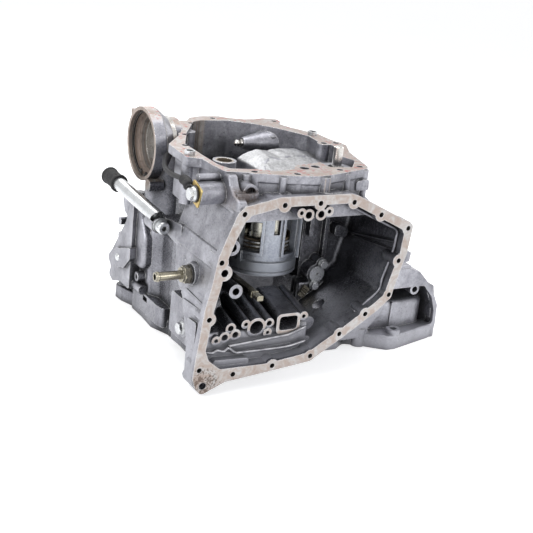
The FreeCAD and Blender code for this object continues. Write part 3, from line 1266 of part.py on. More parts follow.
def selector_shaft():
    x, z = SELECTOR_PLACE
    shaft = rod(
        SELECTOR_RADIUS, Vec(x, SELECTOR_BAR_END_Y - 1, z), Y_AXIS, SELECTOR_BACK_Y - SELECTOR_BAR_END_Y + 1
    )
    tip_end = SELECTOR_FRONT_Y + SELECTOR_TIP_LENGTH
    bar = bar_along_y(SELECTOR_BAR, tip_end - 1, SELECTOR_BAR_END_Y)
    tip = bar_along_y(SELECTOR_TIP, SELECTOR_FRONT_Y, tip_end)
    step = (SELECTOR_TIP_LENGTH - 3) / SELECTOR_NOTCHES
    half = SELECTOR_TIP[1] / 2
    notches = [
        box(
            Vec(x - 9, SELECTOR_FRONT_Y + 1.5 + n * step, z + half - 0.7),
            Vec(x + 9, SELECTOR_FRONT_Y + 1.5 + n * step + SELECTOR_NOTCH, z + half + 1),
        )
        for n in range(SELECTOR_NOTCHES)
    ]
    return shaft.fuse([bar, tip]).cut(notches)


# Bar of the selector shaft, its section given as width and height
def bar_along_y(section, start_y, end_y):
    x, z = SELECTOR_PLACE
    wide, high = section[0] / 2, section[1] / 2
    outline = [(x - wide, z - high), (x + wide, z - high), (x + wide, z + high), (x - wide, z + high)]
    return slab(outline, 1.0, front_view, start_y, end_y)


def pivot_pin():
    x, y = PIVOT_PLACE
    foot = PIVOT_BOSS_TOP_Z - PIVOT_POCKET_DEPTH - PIVOT_SEAT_DEPTH
    length = PIVOT_BOSS_TOP_Z + PIVOT_STANDS - foot
    shoulder = Vec(x, y, foot + length - PIVOT_JOURNAL_LENGTH)
    seat = rod(PIVOT_RADIUS, Vec(x, y, foot), Z_AXIS, length - PIVOT_JOURNAL_LENGTH)
    journal = rod(PIVOT_JOURNAL_RADIUS, shoulder, Z_AXIS, PIVOT_JOURNAL_LENGTH)
    journal = journal.makeChamfer(PIVOT_CHAMFER, [journal.Edges[0]])
    return seat.fuse(journal)


def side_bush():
    x, y = SIDE_BOSS_PLACE
    foot = SIDE_BOSS_TOP_Z - SIDE_BUSH_LENGTH
    return tube(SIDE_BUSH_OUTER, SIDE_BUSH_INNER, Vec(x, y, foot), Z_AXIS, SIDE_BUSH_LENGTH)


def ball_pin():
    y, z = BALL_PIN_PLACE
    pin = rod(BALL_PIN_RADIUS, Vec(BALL_X, y, z), X_AXIS, BALL_PIN_END_X - BALL_X)
    ball = Part.makeSphere(BALL_RADIUS, Vec(BALL_X, y, z), X_AXIS)
    collar = rod(BALL_PIN_RADIUS + 2, Vec(CONE_SEAT_X - 3, y, z), X_AXIS, 3)
    return pin.fuse([ball, collar])


def axle_race():
    start = axle_point(AXLE_FACE_X + AXLE_RACE_SEAT_DEPTH - AXLE_RACE_LENGTH)
    ring = rod(AXLE_RACE_SEAT_RADIUS, start, X_AXIS, AXLE_RACE_LENGTH)
    wide = AXLE_RACE_SEAT_RADIUS - 2
    cone = Part.makeCone(wide, AXLE_SHOULDER_RADIUS + 2, AXLE_RACE_LENGTH, start, X_AXIS)
    return ring.cut(cone)


# Snap ring in the axle bore, open at the bottom
def snap_ring():
    start = axle_point(AXLE_FACE_X + AXLE_GROOVE_PLACE + 0.1)
    outer = AXLE_BORE_RADIUS + AXLE_GROOVE_DEPTH
    ring = tube(outer, AXLE_BORE_RADIUS - SNAP_RING_WIDTH, start, X_AXIS, AXLE_GROOVE_WIDTH - 0.2)
    gap = box(start + Vec(-5, -5, -outer - 5), start + Vec(8, 5, 0))
    eyes = [
        rod(3.0, start + Vec(0, side * 8.5, -AXLE_BORE_RADIUS + 4.2), X_AXIS, AXLE_GROOVE_WIDTH - 0.2)
        for side in (-1, 1)
    ]
    holes = [
        rod(1.2, start + Vec(-1, side * 8.5, -AXLE_BORE_RADIUS + 4.6), X_AXIS, 6) for side in (-1, 1)
    ]
    return ring.cut(gap).fuse(eyes).cut(holes)


# Steel tube whose front end is closed and cut at a slant
def breather_tube():
    outer = rod(TUBE_RADIUS, TUBE_START, TUBE_AXIS, TUBE_LENGTH)
    core_start = TUBE_START + TUBE_AXIS * TUBE_CLOSED_LENGTH
    core = rod(TUBE_RADIUS - TUBE_WALL, core_start, TUBE_AXIS, TUBE_LENGTH)
    side = TUBE_RADIUS * 3
    corner = TUBE_START + Z_AXIS * TUBE_RADIUS
    slanted = Part.makeBox(2 * side, side, 2 * side, corner - Vec(side, side, 2 * side))
    slanted.rotate(corner, X_AXIS, TUBE_SLANT)
    return outer.cut([core, slanted])


def tube_cap():
    start = TUBE_START + TUBE_AXIS * (TUBE_LENGTH - CAP_GRIP)
    outer = rod(CAP_RADIUS, start, TUBE_AXIS, CAP_LENGTH)
    outer = outer.makeFillet(3.0, [outer.Edges[0]])
    rings = [
        rod(CAP_RADIUS + 1.4, start + TUBE_AXIS * place, TUBE_AXIS, width)
        for place, width in ((0, 4.0), (CAP_GRIP + 3, 3.0), (CAP_LENGTH - 10, 3.0))
    ]
    socket = rod(TUBE_RADIUS, start - TUBE_AXIS, TUBE_AXIS, CAP_GRIP + 1)
    return outer.fuse(rings).cut(socket)


# Socket screw under the tube's front end
def saddle_screw():
    x, z = SADDLE_PLACE
    seat = Vec(x, SADDLE_FRONT_Y, z)
    head = rod(SCREW_HEAD_RADIUS, seat, TO_FRONT, SCREW_HEAD_LENGTH)
    head = head.makeFillet(2.5, [head.Edges[0]])
    collar = rod(SCREW_COLLAR_RADIUS, seat, TO_FRONT, 3.0)
    stem = rod(SCREW_RADIUS, seat + TO_FRONT, Y_AXIS, SCREW_LENGTH - OVERCUT)
    socket = hexagon(6.0, seat + TO_FRONT * (SCREW_HEAD_LENGTH + 1), Y_AXIS, 9.0)
    return head.fuse([collar, stem]).cut(socket)


def seal_washer():
    y, z = BARB_PLACE
    return tube(SEAL_RADIUS, BARB_THREAD_RADIUS, Vec(BARB_SEAT_X, y, z), TO_LEFT, SEAL_THICKNESS)


def hose_barb():
    y, z = BARB_PLACE
    seat_x = BARB_SEAT_X - SEAL_THICKNESS
    seat = Vec(seat_x, y, z)
    hexagon_end = seat_x - BARB_HEX_LENGTH
    nut = hex_head(BARB_HEX, seat, TO_LEFT, BARB_HEX_LENGTH)
    collar = rod(BARB_HEX / 2 - 0.6, Vec(hexagon_end + 1, y, z), TO_LEFT, 3.5)
    stem = rod(BARB_RADIUS, seat, TO_LEFT, seat_x - BARB_TIP_X)
    bead = rod(BARB_RADIUS + BARB_BEAD, Vec(BARB_TIP_X + 5, y, z), TO_LEFT, 3.2)
    bead = bead.makeFillet(0.8, [bead.Edges[0], bead.Edges[2]])
    thread = rod(BARB_THREAD_RADIUS, seat, X_AXIS, BARB_THREAD_LENGTH)
    bore = rod(BARB_BORE, Vec(BARB_TIP_X - 1, y, z), X_AXIS, 80)
    return nut.fuse([collar, stem, bead, thread]).cut(bore)


def clamp_plate():
    y, z = CLAMP_BOSS_PLACE
    half_wide, half_high = [size / 2 for size in CLAMP_PLATE_SIZE]
    outline = [
        (y - half_wide, z - half_high), (y + half_wide, z - half_high),
        (y + half_wide, z + half_high), (y - half_wide, z + half_high),
    ]
    face_x = CLAMP_BOSS_FACE_X
    plate = slab(outline, 2, side_view, face_x - CLAMP_PLATE_THICKNESS, face_x)
    plate = plate.rotate(Vec(0, y, z), X_AXIS, CLAMP_PLATE_TURN)
    return plate.cut(rod(M8_RADIUS, Vec(face_x - 5, y, z), X_AXIS, 10))


def clamp_bolt():
    y, z = CLAMP_BOSS_PLACE
    seat = Vec(CLAMP_BOSS_FACE_X - CLAMP_PLATE_THICKNESS - ARM_EYE_THICKNESS, y, z)
    return hex_flange_bolt(seat, TO_LEFT, 20)


# Straight runs joined by balls at the bends
def bent_rod(radius, points):
    pieces = []
    for start, end in zip(points[:-1], points[1:]):
        along = end - start
        pieces.append(Part.makeCylinder(radius, along.Length, start, along))
    pieces += [Part.makeSphere(radius, point) for point in points[1:-1]]
    return joined(pieces)


# Rubber-sleeved arm from the clamp bolt to its grommet on the chamber wall
def sleeved_arm():
    y, z = CLAMP_BOSS_PLACE
    eye_x = CLAMP_BOSS_FACE_X - CLAMP_PLATE_THICKNESS
    eye = rod(ARM_EYE_RADIUS, Vec(eye_x, y, z), TO_LEFT, ARM_EYE_THICKNESS)
    tongue = box(
        Vec(eye_x - ARM_EYE_THICKNESS, y, z - 4), Vec(eye_x, ARM_POINTS[0][1] + 3, z + 7)
    )
    points = [Vec(*point) for point in ARM_POINTS]
    core = bent_rod(ARM_RADIUS, points)
    sleeve = bent_rod(ARM_SLEEVE_RADIUS, points[ARM_SLEEVED])
    return eye.fuse([tongue, core, sleeve]).cut(rod(M8_RADIUS, Vec(eye_x - 9, y, z), X_AXIS, 20))


def side_bolt():
    y, z = SIDE_BOLT_PLACE
    return hex_flange_bolt(Vec(SIDE_BOLT_FACE_X, y, z), TO_LEFT, 18)


def ear_pin():
    y, z = EAR_PLACE
    face = Vec(EAR_FACE_X, y, z)
    head = Part.makeSphere(EAR_PIN_HEAD_RADIUS, face + X_AXIS * (EAR_PIN_HEAD_RADIUS * 0.6))
    reach = EAR_PIN_HEAD_RADIUS * 2
    front = box(face - Vec(reach, reach, reach), face + Vec(0, reach, reach))
    stem = rod(EAR_PIN_RADIUS, face - X_AXIS, X_AXIS, EAR_PIN_LENGTH + 1)
    return head.common(front).fuse(stem)


def cover_disc():
    x, z = COVER_CENTRE
    plate = [rod(COVER_RADIUS, Vec(x, COVER_FACE_Y, z), TO_FRONT, COVER_THICKNESS)]
    for bolt_x, bolt_z in COVER_BOLTS:
        ear_centre = Vec(bolt_x, COVER_FACE_Y, bolt_z)
        plate.append(rod(COVER_EAR_RADIUS, ear_centre, TO_FRONT, COVER_THICKNESS))
        along = Vec(bolt_x - x, 0, bolt_z - z)
        across = Vec(-along.z, 0, along.x).normalize() * 4.5
        corners = [
            Vec(x, COVER_FACE_Y, z) + across, Vec(x, COVER_FACE_Y, z) - across,
            Vec(bolt_x, COVER_FACE_Y, bolt_z) - across, Vec(bolt_x, COVER_FACE_Y, bolt_z) + across,
        ]
        strap = Part.Face(Part.makePolygon(corners + corners[:1]))
        plate.append(strap.extrude(TO_FRONT * COVER_THICKNESS))
    holes = [
        rod(M6_RADIUS, Vec(bx, COVER_FACE_Y - 9, bz), Y_AXIS, 20) for bx, bz in COVER_BOLTS
    ]
    dimple = rod(1.6, Vec(x, COVER_FACE_Y - 9, z), Y_AXIS, 9 - COVER_THICKNESS / 2)
    return joined(plate).cut(holes + [dimple])


def cover_bolts():
    screws = []
    for x, z in COVER_BOLTS:
        seat = Vec(x, COVER_FACE_Y - COVER_THICKNESS, z)
        head = hex_head(M6_HEAD, seat, TO_FRONT, M6_HEAD_HEIGHT)
        screws.append(head.fuse(rod(M6_RADIUS, seat + TO_FRONT, Y_AXIS, 15)))
    return Part.makeCompound(screws)


# Ribbed tag clipped on the pillar's foot
def ribbed_tag():
    x, z = TAG_PLACE
    plate = box(Vec(x - 5, COVER_FACE_Y - 3, z - 8), Vec(x + 5, COVER_FACE_Y, z + 8))
    ribs = [
        box(Vec(x - 5, COVER_FACE_Y - 4.5, z + place), Vec(x + 5, COVER_FACE_Y - 2, z + place + 1.6))
        for place in (-6, -2.5, 1, 4.5)
    ]
    return plate.fuse(ribs).rotate(Vec(x, COVER_FACE_Y, z), Y_AXIS, 35)


def dowel_sleeves(holes, chosen, foot):
    return Part.makeCompound([
        tube(DOWEL_OUTER, DOWEL_INNER, Vec(*holes[index], foot), Z_AXIS, DOWEL_LENGTH)
        for index in chosen
    ])


def upper_dowels():
    return dowel_sleeves(TOP_HOLES, TOP_DOWEL_HOLES, TOP_FACE_Z - DOWEL_LENGTH + DOWEL_STANDS)


def parts():
    return {
        "main_case": main_case(),
        "drum_cage": drum_cage(),
        "drum_bolts": drum_bolts(),
        "hub_bearing": hub_bearing(),
        "clutch_hub": clutch_hub(),
        "friction_plates": friction_plates(),
        "steel_plates": steel_plates(),
        "selector_shaft": selector_shaft(),
        "pivot_pin": pivot_pin(),
        "side_bush": side_bush(),
        "ball_pin": ball_pin(),
        "axle_race": axle_race(),
        "snap_ring": snap_ring(),
        "breather_tube": breather_tube(),
        "tube_cap": tube_cap(),
        "saddle_screw": saddle_screw(),
        "seal_washer": seal_washer(),
        "hose_barb": hose_barb(),
        "clamp_plate": clamp_plate(),
        "clamp_bolt": clamp_bolt(),
        "sleeved_arm": sleeved_arm(),
        "side_bolt": side_bolt(),
        "ear_pin": ear_pin(),
        "cover_disc": cover_disc(),
        "cover_bolts": cover_bolts(),
        "ribbed_tag": ribbed_tag(),
        "upper_dowels": upper_dowels(),
    }


def main():
    os.makedirs("parts", exist_ok=True)
    shapes = parts()
    whole = Part.makeCompound(list(shapes.values())).BoundBox
    to_origin = Vec(-(whole.XMin + whole.XMax) / 2, -(whole.YMin + whole.YMax) / 2, -whole.ZMin)
    place = [round(value, 3) for value in to_origin]
    print("drum axis in the part's frame", place)
    for name, shape in shapes.items():
        placed = shape.copy()
        placed.translate(to_origin)
        placed.exportStep("parts/" + name + ".step")
        print(name, len(placed.Solids), placed.isValid(), round(placed.Volume))


main()
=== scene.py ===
"""Looks of a gearbox housing: finishes, fine cast and turned details, floor, lights and camera.

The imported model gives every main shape. This script dresses it, adds what is too fine for the solids,
and sets up a plain studio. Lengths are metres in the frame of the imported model.
"""

from __future__ import annotations

import json
import logging
import math
from collections.abc import Iterable
from dataclasses import dataclass, field
from enum import Enum

import bmesh
import bpy
from mathutils import Matrix, Vector, noise


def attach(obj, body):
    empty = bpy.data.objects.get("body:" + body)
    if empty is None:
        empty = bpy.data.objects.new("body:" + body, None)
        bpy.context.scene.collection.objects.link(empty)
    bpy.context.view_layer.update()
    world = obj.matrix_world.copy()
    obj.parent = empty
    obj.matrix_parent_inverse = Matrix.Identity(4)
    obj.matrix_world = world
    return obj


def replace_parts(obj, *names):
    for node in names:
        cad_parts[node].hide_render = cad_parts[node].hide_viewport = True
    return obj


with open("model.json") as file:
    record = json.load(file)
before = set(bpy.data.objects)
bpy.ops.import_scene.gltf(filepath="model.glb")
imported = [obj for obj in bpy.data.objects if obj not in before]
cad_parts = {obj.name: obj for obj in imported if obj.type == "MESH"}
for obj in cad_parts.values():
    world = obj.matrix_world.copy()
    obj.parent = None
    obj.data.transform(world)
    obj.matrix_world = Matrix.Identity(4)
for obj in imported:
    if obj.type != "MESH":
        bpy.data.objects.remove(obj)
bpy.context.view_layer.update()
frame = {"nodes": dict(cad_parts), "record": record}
LOG = logging.getLogger("gearbox_housing")

Colour = tuple[float, float, float]
Point = tuple[float, float, float]
Flat = tuple[float, float]
Socket = bpy.types.NodeSocket
Material = bpy.types.Material
Mesh = bmesh.types.BMesh
Face = bmesh.types.BMFace
Piece = bpy.types.Object

# Where the drum's axis meets the lower flange's plane, in millimetres
DRUM_AXIS_MM = Vector((-45.0, -36.0, 0.0))
WHITE: Colour = (1.0, 1.0, 1.0)
BACKGROUND_RAYS = ("Is Camera Ray", "Is Glossy Ray", "Is Transmission Ray")
X = Vector((1.0, 0.0, 0.0))
Y = Vector((0.0, 1.0, 0.0))
Z = Vector((0.0, 0.0, 1.0))


class Slot(Enum):
    """The record's slots that the added pieces take their finish from."""

    DIE_CAST = "die_cast"
    DARK_STEEL = "dark_steel"
    BLACK_RUBBER = "black_rubber"


def at(x: float, y: float, z: float) -> Vector:
    """Turn a place measured from the drum's axis in millimetres into the model's frame.

    Args:
        x: Distance to the right.
        y: Distance to the back.
        z: Height over the lower flange.

    Returns:
        The place in metres.
    """
    return (Vector((x, y, z)) + DRUM_AXIS_MM) / 1000.0


def linked(name: str, data: bpy.types.ID) -> Piece:
    """Put an object with this data into the scene.

    Args:
        name: Name of the object.
        data: Its mesh, light or camera data.

    Returns:
        The object.
    """
    made = bpy.data.objects.new(name, data)
    bpy.context.scene.collection.objects.link(made)
    return made


def placed(name: str, mesh: Mesh, material: Material) -> Piece:
    """Put a mesh into the scene with its material, and free it.

    Args:
        name: Name of the piece.
        mesh: Its shape in metres, freed here.
        material: Its material.

    Returns:
        The piece.
    """
    data = bpy.data.meshes.new(name)
    mesh.to_mesh(data)
    mesh.free()
    data.materials.append(material)
    return linked(name, data)


@dataclass(frozen=True)
class Value:
    """A number on a shader socket that can stand in Python expressions."""

    graph: Graph
    socket: Socket

    def math(self, operation: str, other: Value | float | None = None, swap: bool = False) -> Value:
        """Add a Math node for this value.

        Args:
            operation: Name of the Math node's operation.
            other: The second operand, if there is one.
            swap: Whether the operands change places.

        Returns:
            The result.
        """
        operands: list[object] = [self] if other is None else [self, other]
        if swap:
            operands.reverse()
        return self.graph.value("ShaderNodeMath", {"operation": operation}, dict(enumerate(operands)))

    def __add__(self, other: Value | float) -> Value:
        """Sum."""
        return self.math("ADD", other)

    __radd__ = __add__

    def __sub__(self, other: Value | float) -> Value:
        """Difference."""
        return self.math("SUBTRACT", other)

    def __rsub__(self, other: Value | float) -> Value:
        """Difference with the operands swapped."""
        return self.math("SUBTRACT", other, swap=True)

    def __mul__(self, other: Value | float) -> Value:
        """Product."""
        return self.math("MULTIPLY", other)

    __rmul__ = __mul__

    def __pow__(self, other: Value | float) -> Value:
        """Power."""
        return self.math("POWER", other)

    def clamp(self) -> Value:
        """Limit to 0 and 1."""
        return self.graph.value("ShaderNodeClamp", {}, {"Value": self})

    def high(self, other: Value | float) -> Value:
        """The larger of two."""
        return self.math("MAXIMUM", other)

    def step(self, start: float, end: float) -> Value:
        """Rise smoothly from 0 at start to 1 at end.

        Args:
            start: The value that gives 0.
            end: The value that gives 1, which may be smaller than start.

        Returns:
            A value between 0 and 1.
        """
        inputs = {"Value": self, "From Min": min(start, end), "From Max": max(start, end)}
        rise = self.graph.value("ShaderNodeMapRange", {"interpolation_type": "SMOOTHSTEP"}, inputs)
        return rise if start < end else 1.0 - rise

    def band(self, low: float, high: float, blur: float) -> Value:
        """A mask that is 1 between two values.

        Args:
            low: Lower limit.
            high: Upper limit.
            blur: Width of each soft edge.

        Returns:
            A value between 0 and 1.
        """
        return self.step(low - blur, low + blur) * self.step(high + blur, high - blur)


Axes = tuple[Value, Value, Value]


class Graph:
    """A node tree whose nodes are added by calls."""

    def __init__(self, tree: bpy.types.NodeTree) -> None:
        """Start with an empty tree.

        Args:
            tree: The tree of a material or of a world.
        """
        self.tree = tree
        tree.nodes.clear()

    def node(self, kind: str, settings: dict[str, object], inputs: dict[object, object]) -> bpy.types.Node:
        """Add a node.

        Args:
            kind: Type of the node.
            settings: Attributes to set first.
            inputs: Sockets by name or number, each with a number, a colour, a socket or a Value.

        Returns:
            The node.
        """
        made = self.tree.nodes.new(kind)
        for name, setting in settings.items():
            setattr(made, name, setting)
        for name, given in inputs.items():
            self.feed(made.inputs[name], given)
        return made

    def feed(self, socket: Socket, given: object) -> None:
        """Link or set a socket.

        Args:
            socket: The socket that takes it.
            given: A Value, a socket, a number or a colour.
        """
        if isinstance(given, Value):
            self.tree.links.new(given.socket, socket)
        elif isinstance(given, Socket):
            self.tree.links.new(given, socket)
        elif isinstance(given, (tuple, list, Vector)) and socket.type == "RGBA":
            socket.default_value = (*given, 1.0)
        else:
            socket.default_value = given

    def value(self, kind: str, settings: dict[str, object], inputs: dict[object, object]) -> Value:
        """Add a node and take its first output as a number."""
        return Value(self, self.node(kind, settings, inputs).outputs[0])

    def background_rays(self) -> Value:
        """A mask that is 1 for rays that show the background, straight, mirrored or through glass.

        Returns:
            The mask.
        """
        rays = self.node("ShaderNodeLightPath", {}, {})
        straight, mirrored, through = (Value(self, rays.outputs[name]) for name in BACKGROUND_RAYS)
        return straight.high(mirrored).high(through)


class Shader(Graph):
    """A material made of one principled surface and what feeds it."""

    def __init__(self, name: str) -> None:
        """Start a material.

        Args:
            name: Name of the material.
        """
        self.material = bpy.data.materials.new(name)
        self.material.use_nodes = True
        super().__init__(self.material.node_tree)
        self.surface = self.node("ShaderNodeBsdfPrincipled", {}, {})
        self.node("ShaderNodeOutputMaterial", {}, {"Surface": self.surface.outputs[0]})
        coordinates = self.node("ShaderNodeTexCoord", {}, {})
        self.place = coordinates.outputs["Object"]
        self.facing = coordinates.outputs["Normal"]

    def axes(self, vector: Socket | None = None) -> Axes:
        """Split a vector, the place on the piece unless another is given."""
        split = self.node("ShaderNodeSeparateXYZ", {}, {0: vector or self.place})
        return Value(self, split.outputs[0]), Value(self, split.outputs[1]), Value(self, split.outputs[2])

    def noise(
        self, scale: float, detail: float = 2.0, rough: float = 0.5, warp: float = 0.0,
        vector: Socket | None = None,
    ) -> Value:
        """Noise between 0 and 1 over the piece's own coordinates.

        Args:
            scale: How many features fit in a metre.
            detail: Number of finer layers.
            rough: Weight of the finer layers.
            warp: How much the pattern is distorted.
            vector: Coordinates other than the piece's own.

        Returns:
            The noise.
        """
        inputs = {
            "Vector": vector or self.place, "Scale": scale, "Detail": detail, "Roughness": rough,
            "Distortion": warp,
        }
        return self.value("ShaderNodeTexNoise", {}, inputs)

    def cells(self, scale: float) -> Value:
        """Distance to the nearest of many scattered points, between 0 and about 1."""
        return self.value("ShaderNodeTexVoronoi", {}, {"Vector": self.place, "Scale": scale})

    def stretched(self, scale: Point, turn: Point = (0.0, 0.0, 0.0)) -> Socket:
        """The piece's coordinates, turned in degrees and then scaled.

        Args:
            scale: Scale along each axis.
            turn: Turn about each axis in degrees.

        Returns:
            The changed coordinates.
        """
        turns = tuple(math.radians(angle) for angle in turn)
        inputs = {"Vector": self.place, "Rotation": turns, "Scale": scale}
        return self.node("ShaderNodeMapping", {}, inputs).outputs[0]

    def mix(self, amount: Value | float, first: object, second: object) -> Socket:
        """Blend two colours.

        Args:
            amount: 0 gives the first and 1 the second.
            first: A colour or a colour socket.
            second: A colour or a colour socket.

        Returns:
            The blended colour.
        """
        blend = self.node("ShaderNodeMix", {"data_type": "RGBA"}, {0: amount})
        self.feed(blend.inputs[6], first)
        self.feed(blend.inputs[7], second)
        return blend.outputs[2]

    def shade(self, colour: object, light: Value) -> Socket:
        """Multiply a colour by a number.

        Args:
            colour: A colour or a colour socket.
            light: The number it is multiplied by.

        Returns:
            The shaded colour.
        """
        scaled = self.node("ShaderNodeVectorMath", {"operation": "SCALE"}, {"Scale": light})
        self.feed(scaled.inputs[0], colour)
        return scaled.outputs[0]

    def openness(self, reach: float, samples: int = 6) -> Value:
        """How open the surroundings are within a distance, from 0 in a deep corner to 1."""
        occlusion = self.node(
            "ShaderNodeAmbientOcclusion", {"samples": samples}, {"Distance": reach, "Color": WHITE}
        )
        return Value(self, occlusion.outputs["AO"])

    def soft_normal(self, radius: float) -> Socket:
        """Normal of the surface as if its edges were rounded."""
        return self.node("ShaderNodeBevel", {"samples": 4}, {"Radius": radius}).outputs[0]

    def edge(self, radius: float) -> Value:
        """A mask that is 1 on sharp edges.

        Args:
            radius: Reach of the rounding in metres.

        Returns:
            The mask.
        """
        true_normal = self.node("ShaderNodeNewGeometry", {}, {}).outputs["Normal"]
        normals = {0: true_normal, 1: self.soft_normal(radius)}
        cosine = self.node("ShaderNodeVectorMath", {"operation": "DOT_PRODUCT"}, normals)
        return Value(self, cosine.outputs["Value"]).step(0.995, 0.93)

    def bump(
        self, height: Value, depth: float, normal: Socket | None = None
    ) -> Socket:
        """Raise the surface by a height.

        Args:
            height: The height, from 0 to 1.
            depth: What a height of 1 stands for, in metres.
            normal: The normal to start from.

        Returns:
            The new normal.
        """
        inputs: dict[object, object] = {"Height": height, "Distance": depth, "Strength": 1.0}
        if normal is not None:
            inputs["Normal"] = normal
        return self.node("ShaderNodeBump", {}, inputs).outputs[0]

    def finish(self, **sockets: object) -> Material:
        """Feed the surface and return the material.

        Args:
            **sockets: Surface sockets, with underscores for spaces.

        Returns:
            The material.
        """
        for name, given in sockets.items():
            self.feed(self.surface.inputs[name.replace("_", " ")], given)
        return self.material


@dataclass(frozen=True)
class MetalFinish:
    """A plain worked metal: colour, polish, grain, painted shade in corners and bright worn edges."""

    name: str
    colour: Colour
    stain: Colour
    stain_share: float = 0.35
    # Colour of the painted shade in corners, and how far that shade reaches.
    corner_shade: Colour = (0.05, 0.045, 0.04)
    corner_shade_reach: float = 0.006
    rough: float = 0.32
    rough_spread: float = 0.18
    grain: float = 1400.0
    grain_depth: float = 0.00006
    stretch: Point = (1.0, 1.0, 1.0)
    edge_colour: Colour = (0.75, 0.74, 0.72)
    edge_share: float = 0.7
    rounding: float = 0.0004
    metallic: float = 1.0

    def make(self) -> Material:
        """Build the material.

        Returns:
            The finished material.
        """
        shader = Shader(self.name)
        blotch = shader.noise(70.0, 4.0, 0.6, 0.4)
        grain = shader.noise(self.grain, 3.0, 0.6, 0.0, shader.stretched(self.stretch))
        fleck = shader.noise(420.0, 2.0)
        colour = shader.mix((blotch.step(0.42, 0.68) * self.stain_share).clamp(), self.colour, self.stain)
        colour = shader.shade(colour, 0.86 + grain * 0.28)
        # Painted shade: the colour darkens in corners, judged by how open the surroundings are within a
        # short reach.
        corner = shader.openness(self.corner_shade_reach, 4).step(0.9, 0.35) * (0.45 + blotch)
        colour = shader.mix((corner * 0.85).clamp(), colour, self.corner_shade)
        worn = shader.edge(self.rounding) * fleck.step(0.3, 0.6) * self.edge_share
        colour = shader.mix(worn, colour, self.edge_colour)
        rough = self.rough + (blotch - 0.5) * self.rough_spread + corner * 0.25 - worn * 0.1
        normal = shader.bump(grain, self.grain_depth, shader.soft_normal(self.rounding))
        return shader.finish(
            Base_Color=colour, Metallic=self.metallic, Roughness=rough.clamp(), Normal=normal
        )


@dataclass(frozen=True)
class RubberFinish:
    """Moulded black rubber with dust and a slight sheen."""

    name: str
    colour: Colour = (0.012, 0.012, 0.014)
    dust: Colour = (0.10, 0.095, 0.09)

    def make(self) -> Material:
        """Build the material.

        Returns:
            The finished material.
        """
        shader = Shader(self.name)
        blotch = shader.noise(110.0, 4.0, 0.6, 0.3)
        pores = shader.noise(2600.0, 2.0)
        colour = shader.mix(blotch.step(0.5, 0.8) * 0.5, self.colour, self.dust)
        colour = shader.mix(shader.edge(0.0006) * 0.35, colour, self.dust)
        normal = shader.bump(pores + blotch * 2.0, 0.00008, shader.soft_normal(0.0005))
        return shader.finish(Base_Color=colour, Roughness=(0.42 + blotch * 0.3).clamp(), Normal=normal)


@dataclass(frozen=True)
class CastSkin:
    """Colours and depths of blasted die-cast aluminium."""

    name: str
    light: Colour = (0.46, 0.46, 0.505)
    dark: Colour = (0.20, 0.20, 0.225)
    # Colour of the painted shade in corners.
    corner_shade: Colour = (0.022, 0.021, 0.021)
    # Colour of real random stains in the skin, and also of the painted shade in deep places.
    soot_and_shade: Colour = (0.075, 0.077, 0.086)
    # Colour of worn edges, and also of the painted glints (painted highlights) in the skin.
    worn: Colour = (0.80, 0.80, 0.81)
    metallic: float = 0.85
    rough: float = 0.36
    grain_depth: float = 0.00042
    rounding: float = 0.0010

    def skin(self, shader: Shader) -> tuple[Socket, Value, Value]:
        """Paint the bare cast skin.

        Args:
            shader: The material to add nodes to.

        Returns:
            Its colour, its roughness and its height for a bump.
        """
        cloud = shader.noise(11.0, 4.0, 0.6, 0.5)
        blotch = shader.noise(55.0, 5.0, 0.65, 0.4)
        speck = shader.noise(390.0, 4.0, 0.78)
        glint = shader.noise(520.0, 2.0, 0.6).step(0.60, 0.72)
        pits = shader.cells(950.0)
        flow = shader.noise(24.0, 3.0, 0.55, 1.5, shader.stretched((1.0, 1.0, 0.35), (8.0, 20.0, 0.0)))
        tone = (cloud * 0.45 + blotch * 0.35 + flow * 0.2).step(0.36, 0.64)
        colour = shader.mix(tone, self.dark, self.light)
        colour = shader.shade(colour, 0.40 + speck * 1.15)
        # Painted highlights: random glints in the colour of the worn edges.
        colour = shader.mix(glint * 0.30, colour, self.worn)
        stain = shader.noise(17.0, 5.0, 0.7, 1.0).step(0.57, 0.75) * 0.35
        colour = shader.mix(stain, colour, self.soot_and_shade)
        rough = self.rough + (blotch - 0.5) * 0.30 + (speck - 0.5) * 0.30 - glint * 0.08
        height = speck * 0.9 + pits.step(0.0, 0.35) * 0.4 + blotch * 1.6
        return colour, rough, height

    def shaded_and_worn(
        self, shader: Shader, colour: Socket, deep: Value
    ) -> tuple[Socket, Value, Value]:
        """Paint shade into corners and deep places, and brighten worn edges.

        Args:
            shader: The material to add nodes to.
            colour: The colour so far.
            deep: How much painted shade the deep places take.

        Returns:
            The colour, the mask of the painted shade in corners and the mask of the worn edges.
        """
        blotch = shader.noise(34.0, 4.0, 0.65, 0.6)
        # Painted shade: darker in corners within about 11 mm, and in the deep places that the caller gives.
        corner = shader.openness(0.011).step(0.93, 0.50) * (0.30 + blotch)
        colour = shader.mix((deep * (0.50 + blotch * 0.7)).clamp(), colour, self.soot_and_shade)
        colour = shader.mix((corner * 0.8).clamp(), colour, self.corner_shade)
        worn = shader.edge(self.rounding) * shader.noise(190.0, 3.0).step(0.28, 0.56)
        colour = shader.mix(worn * 0.85, colour, self.worn)
        return colour, corner, worn


@dataclass(frozen=True)
class Survey:
    """Where a spot of the casting lies, which way it faces, and the patterns that its stains share."""

    shader: Shader
    place: Axes
    facing: Axes
    from_axle: Value
    lines: Value
    film: Value
    spots: Value
    specks: Value


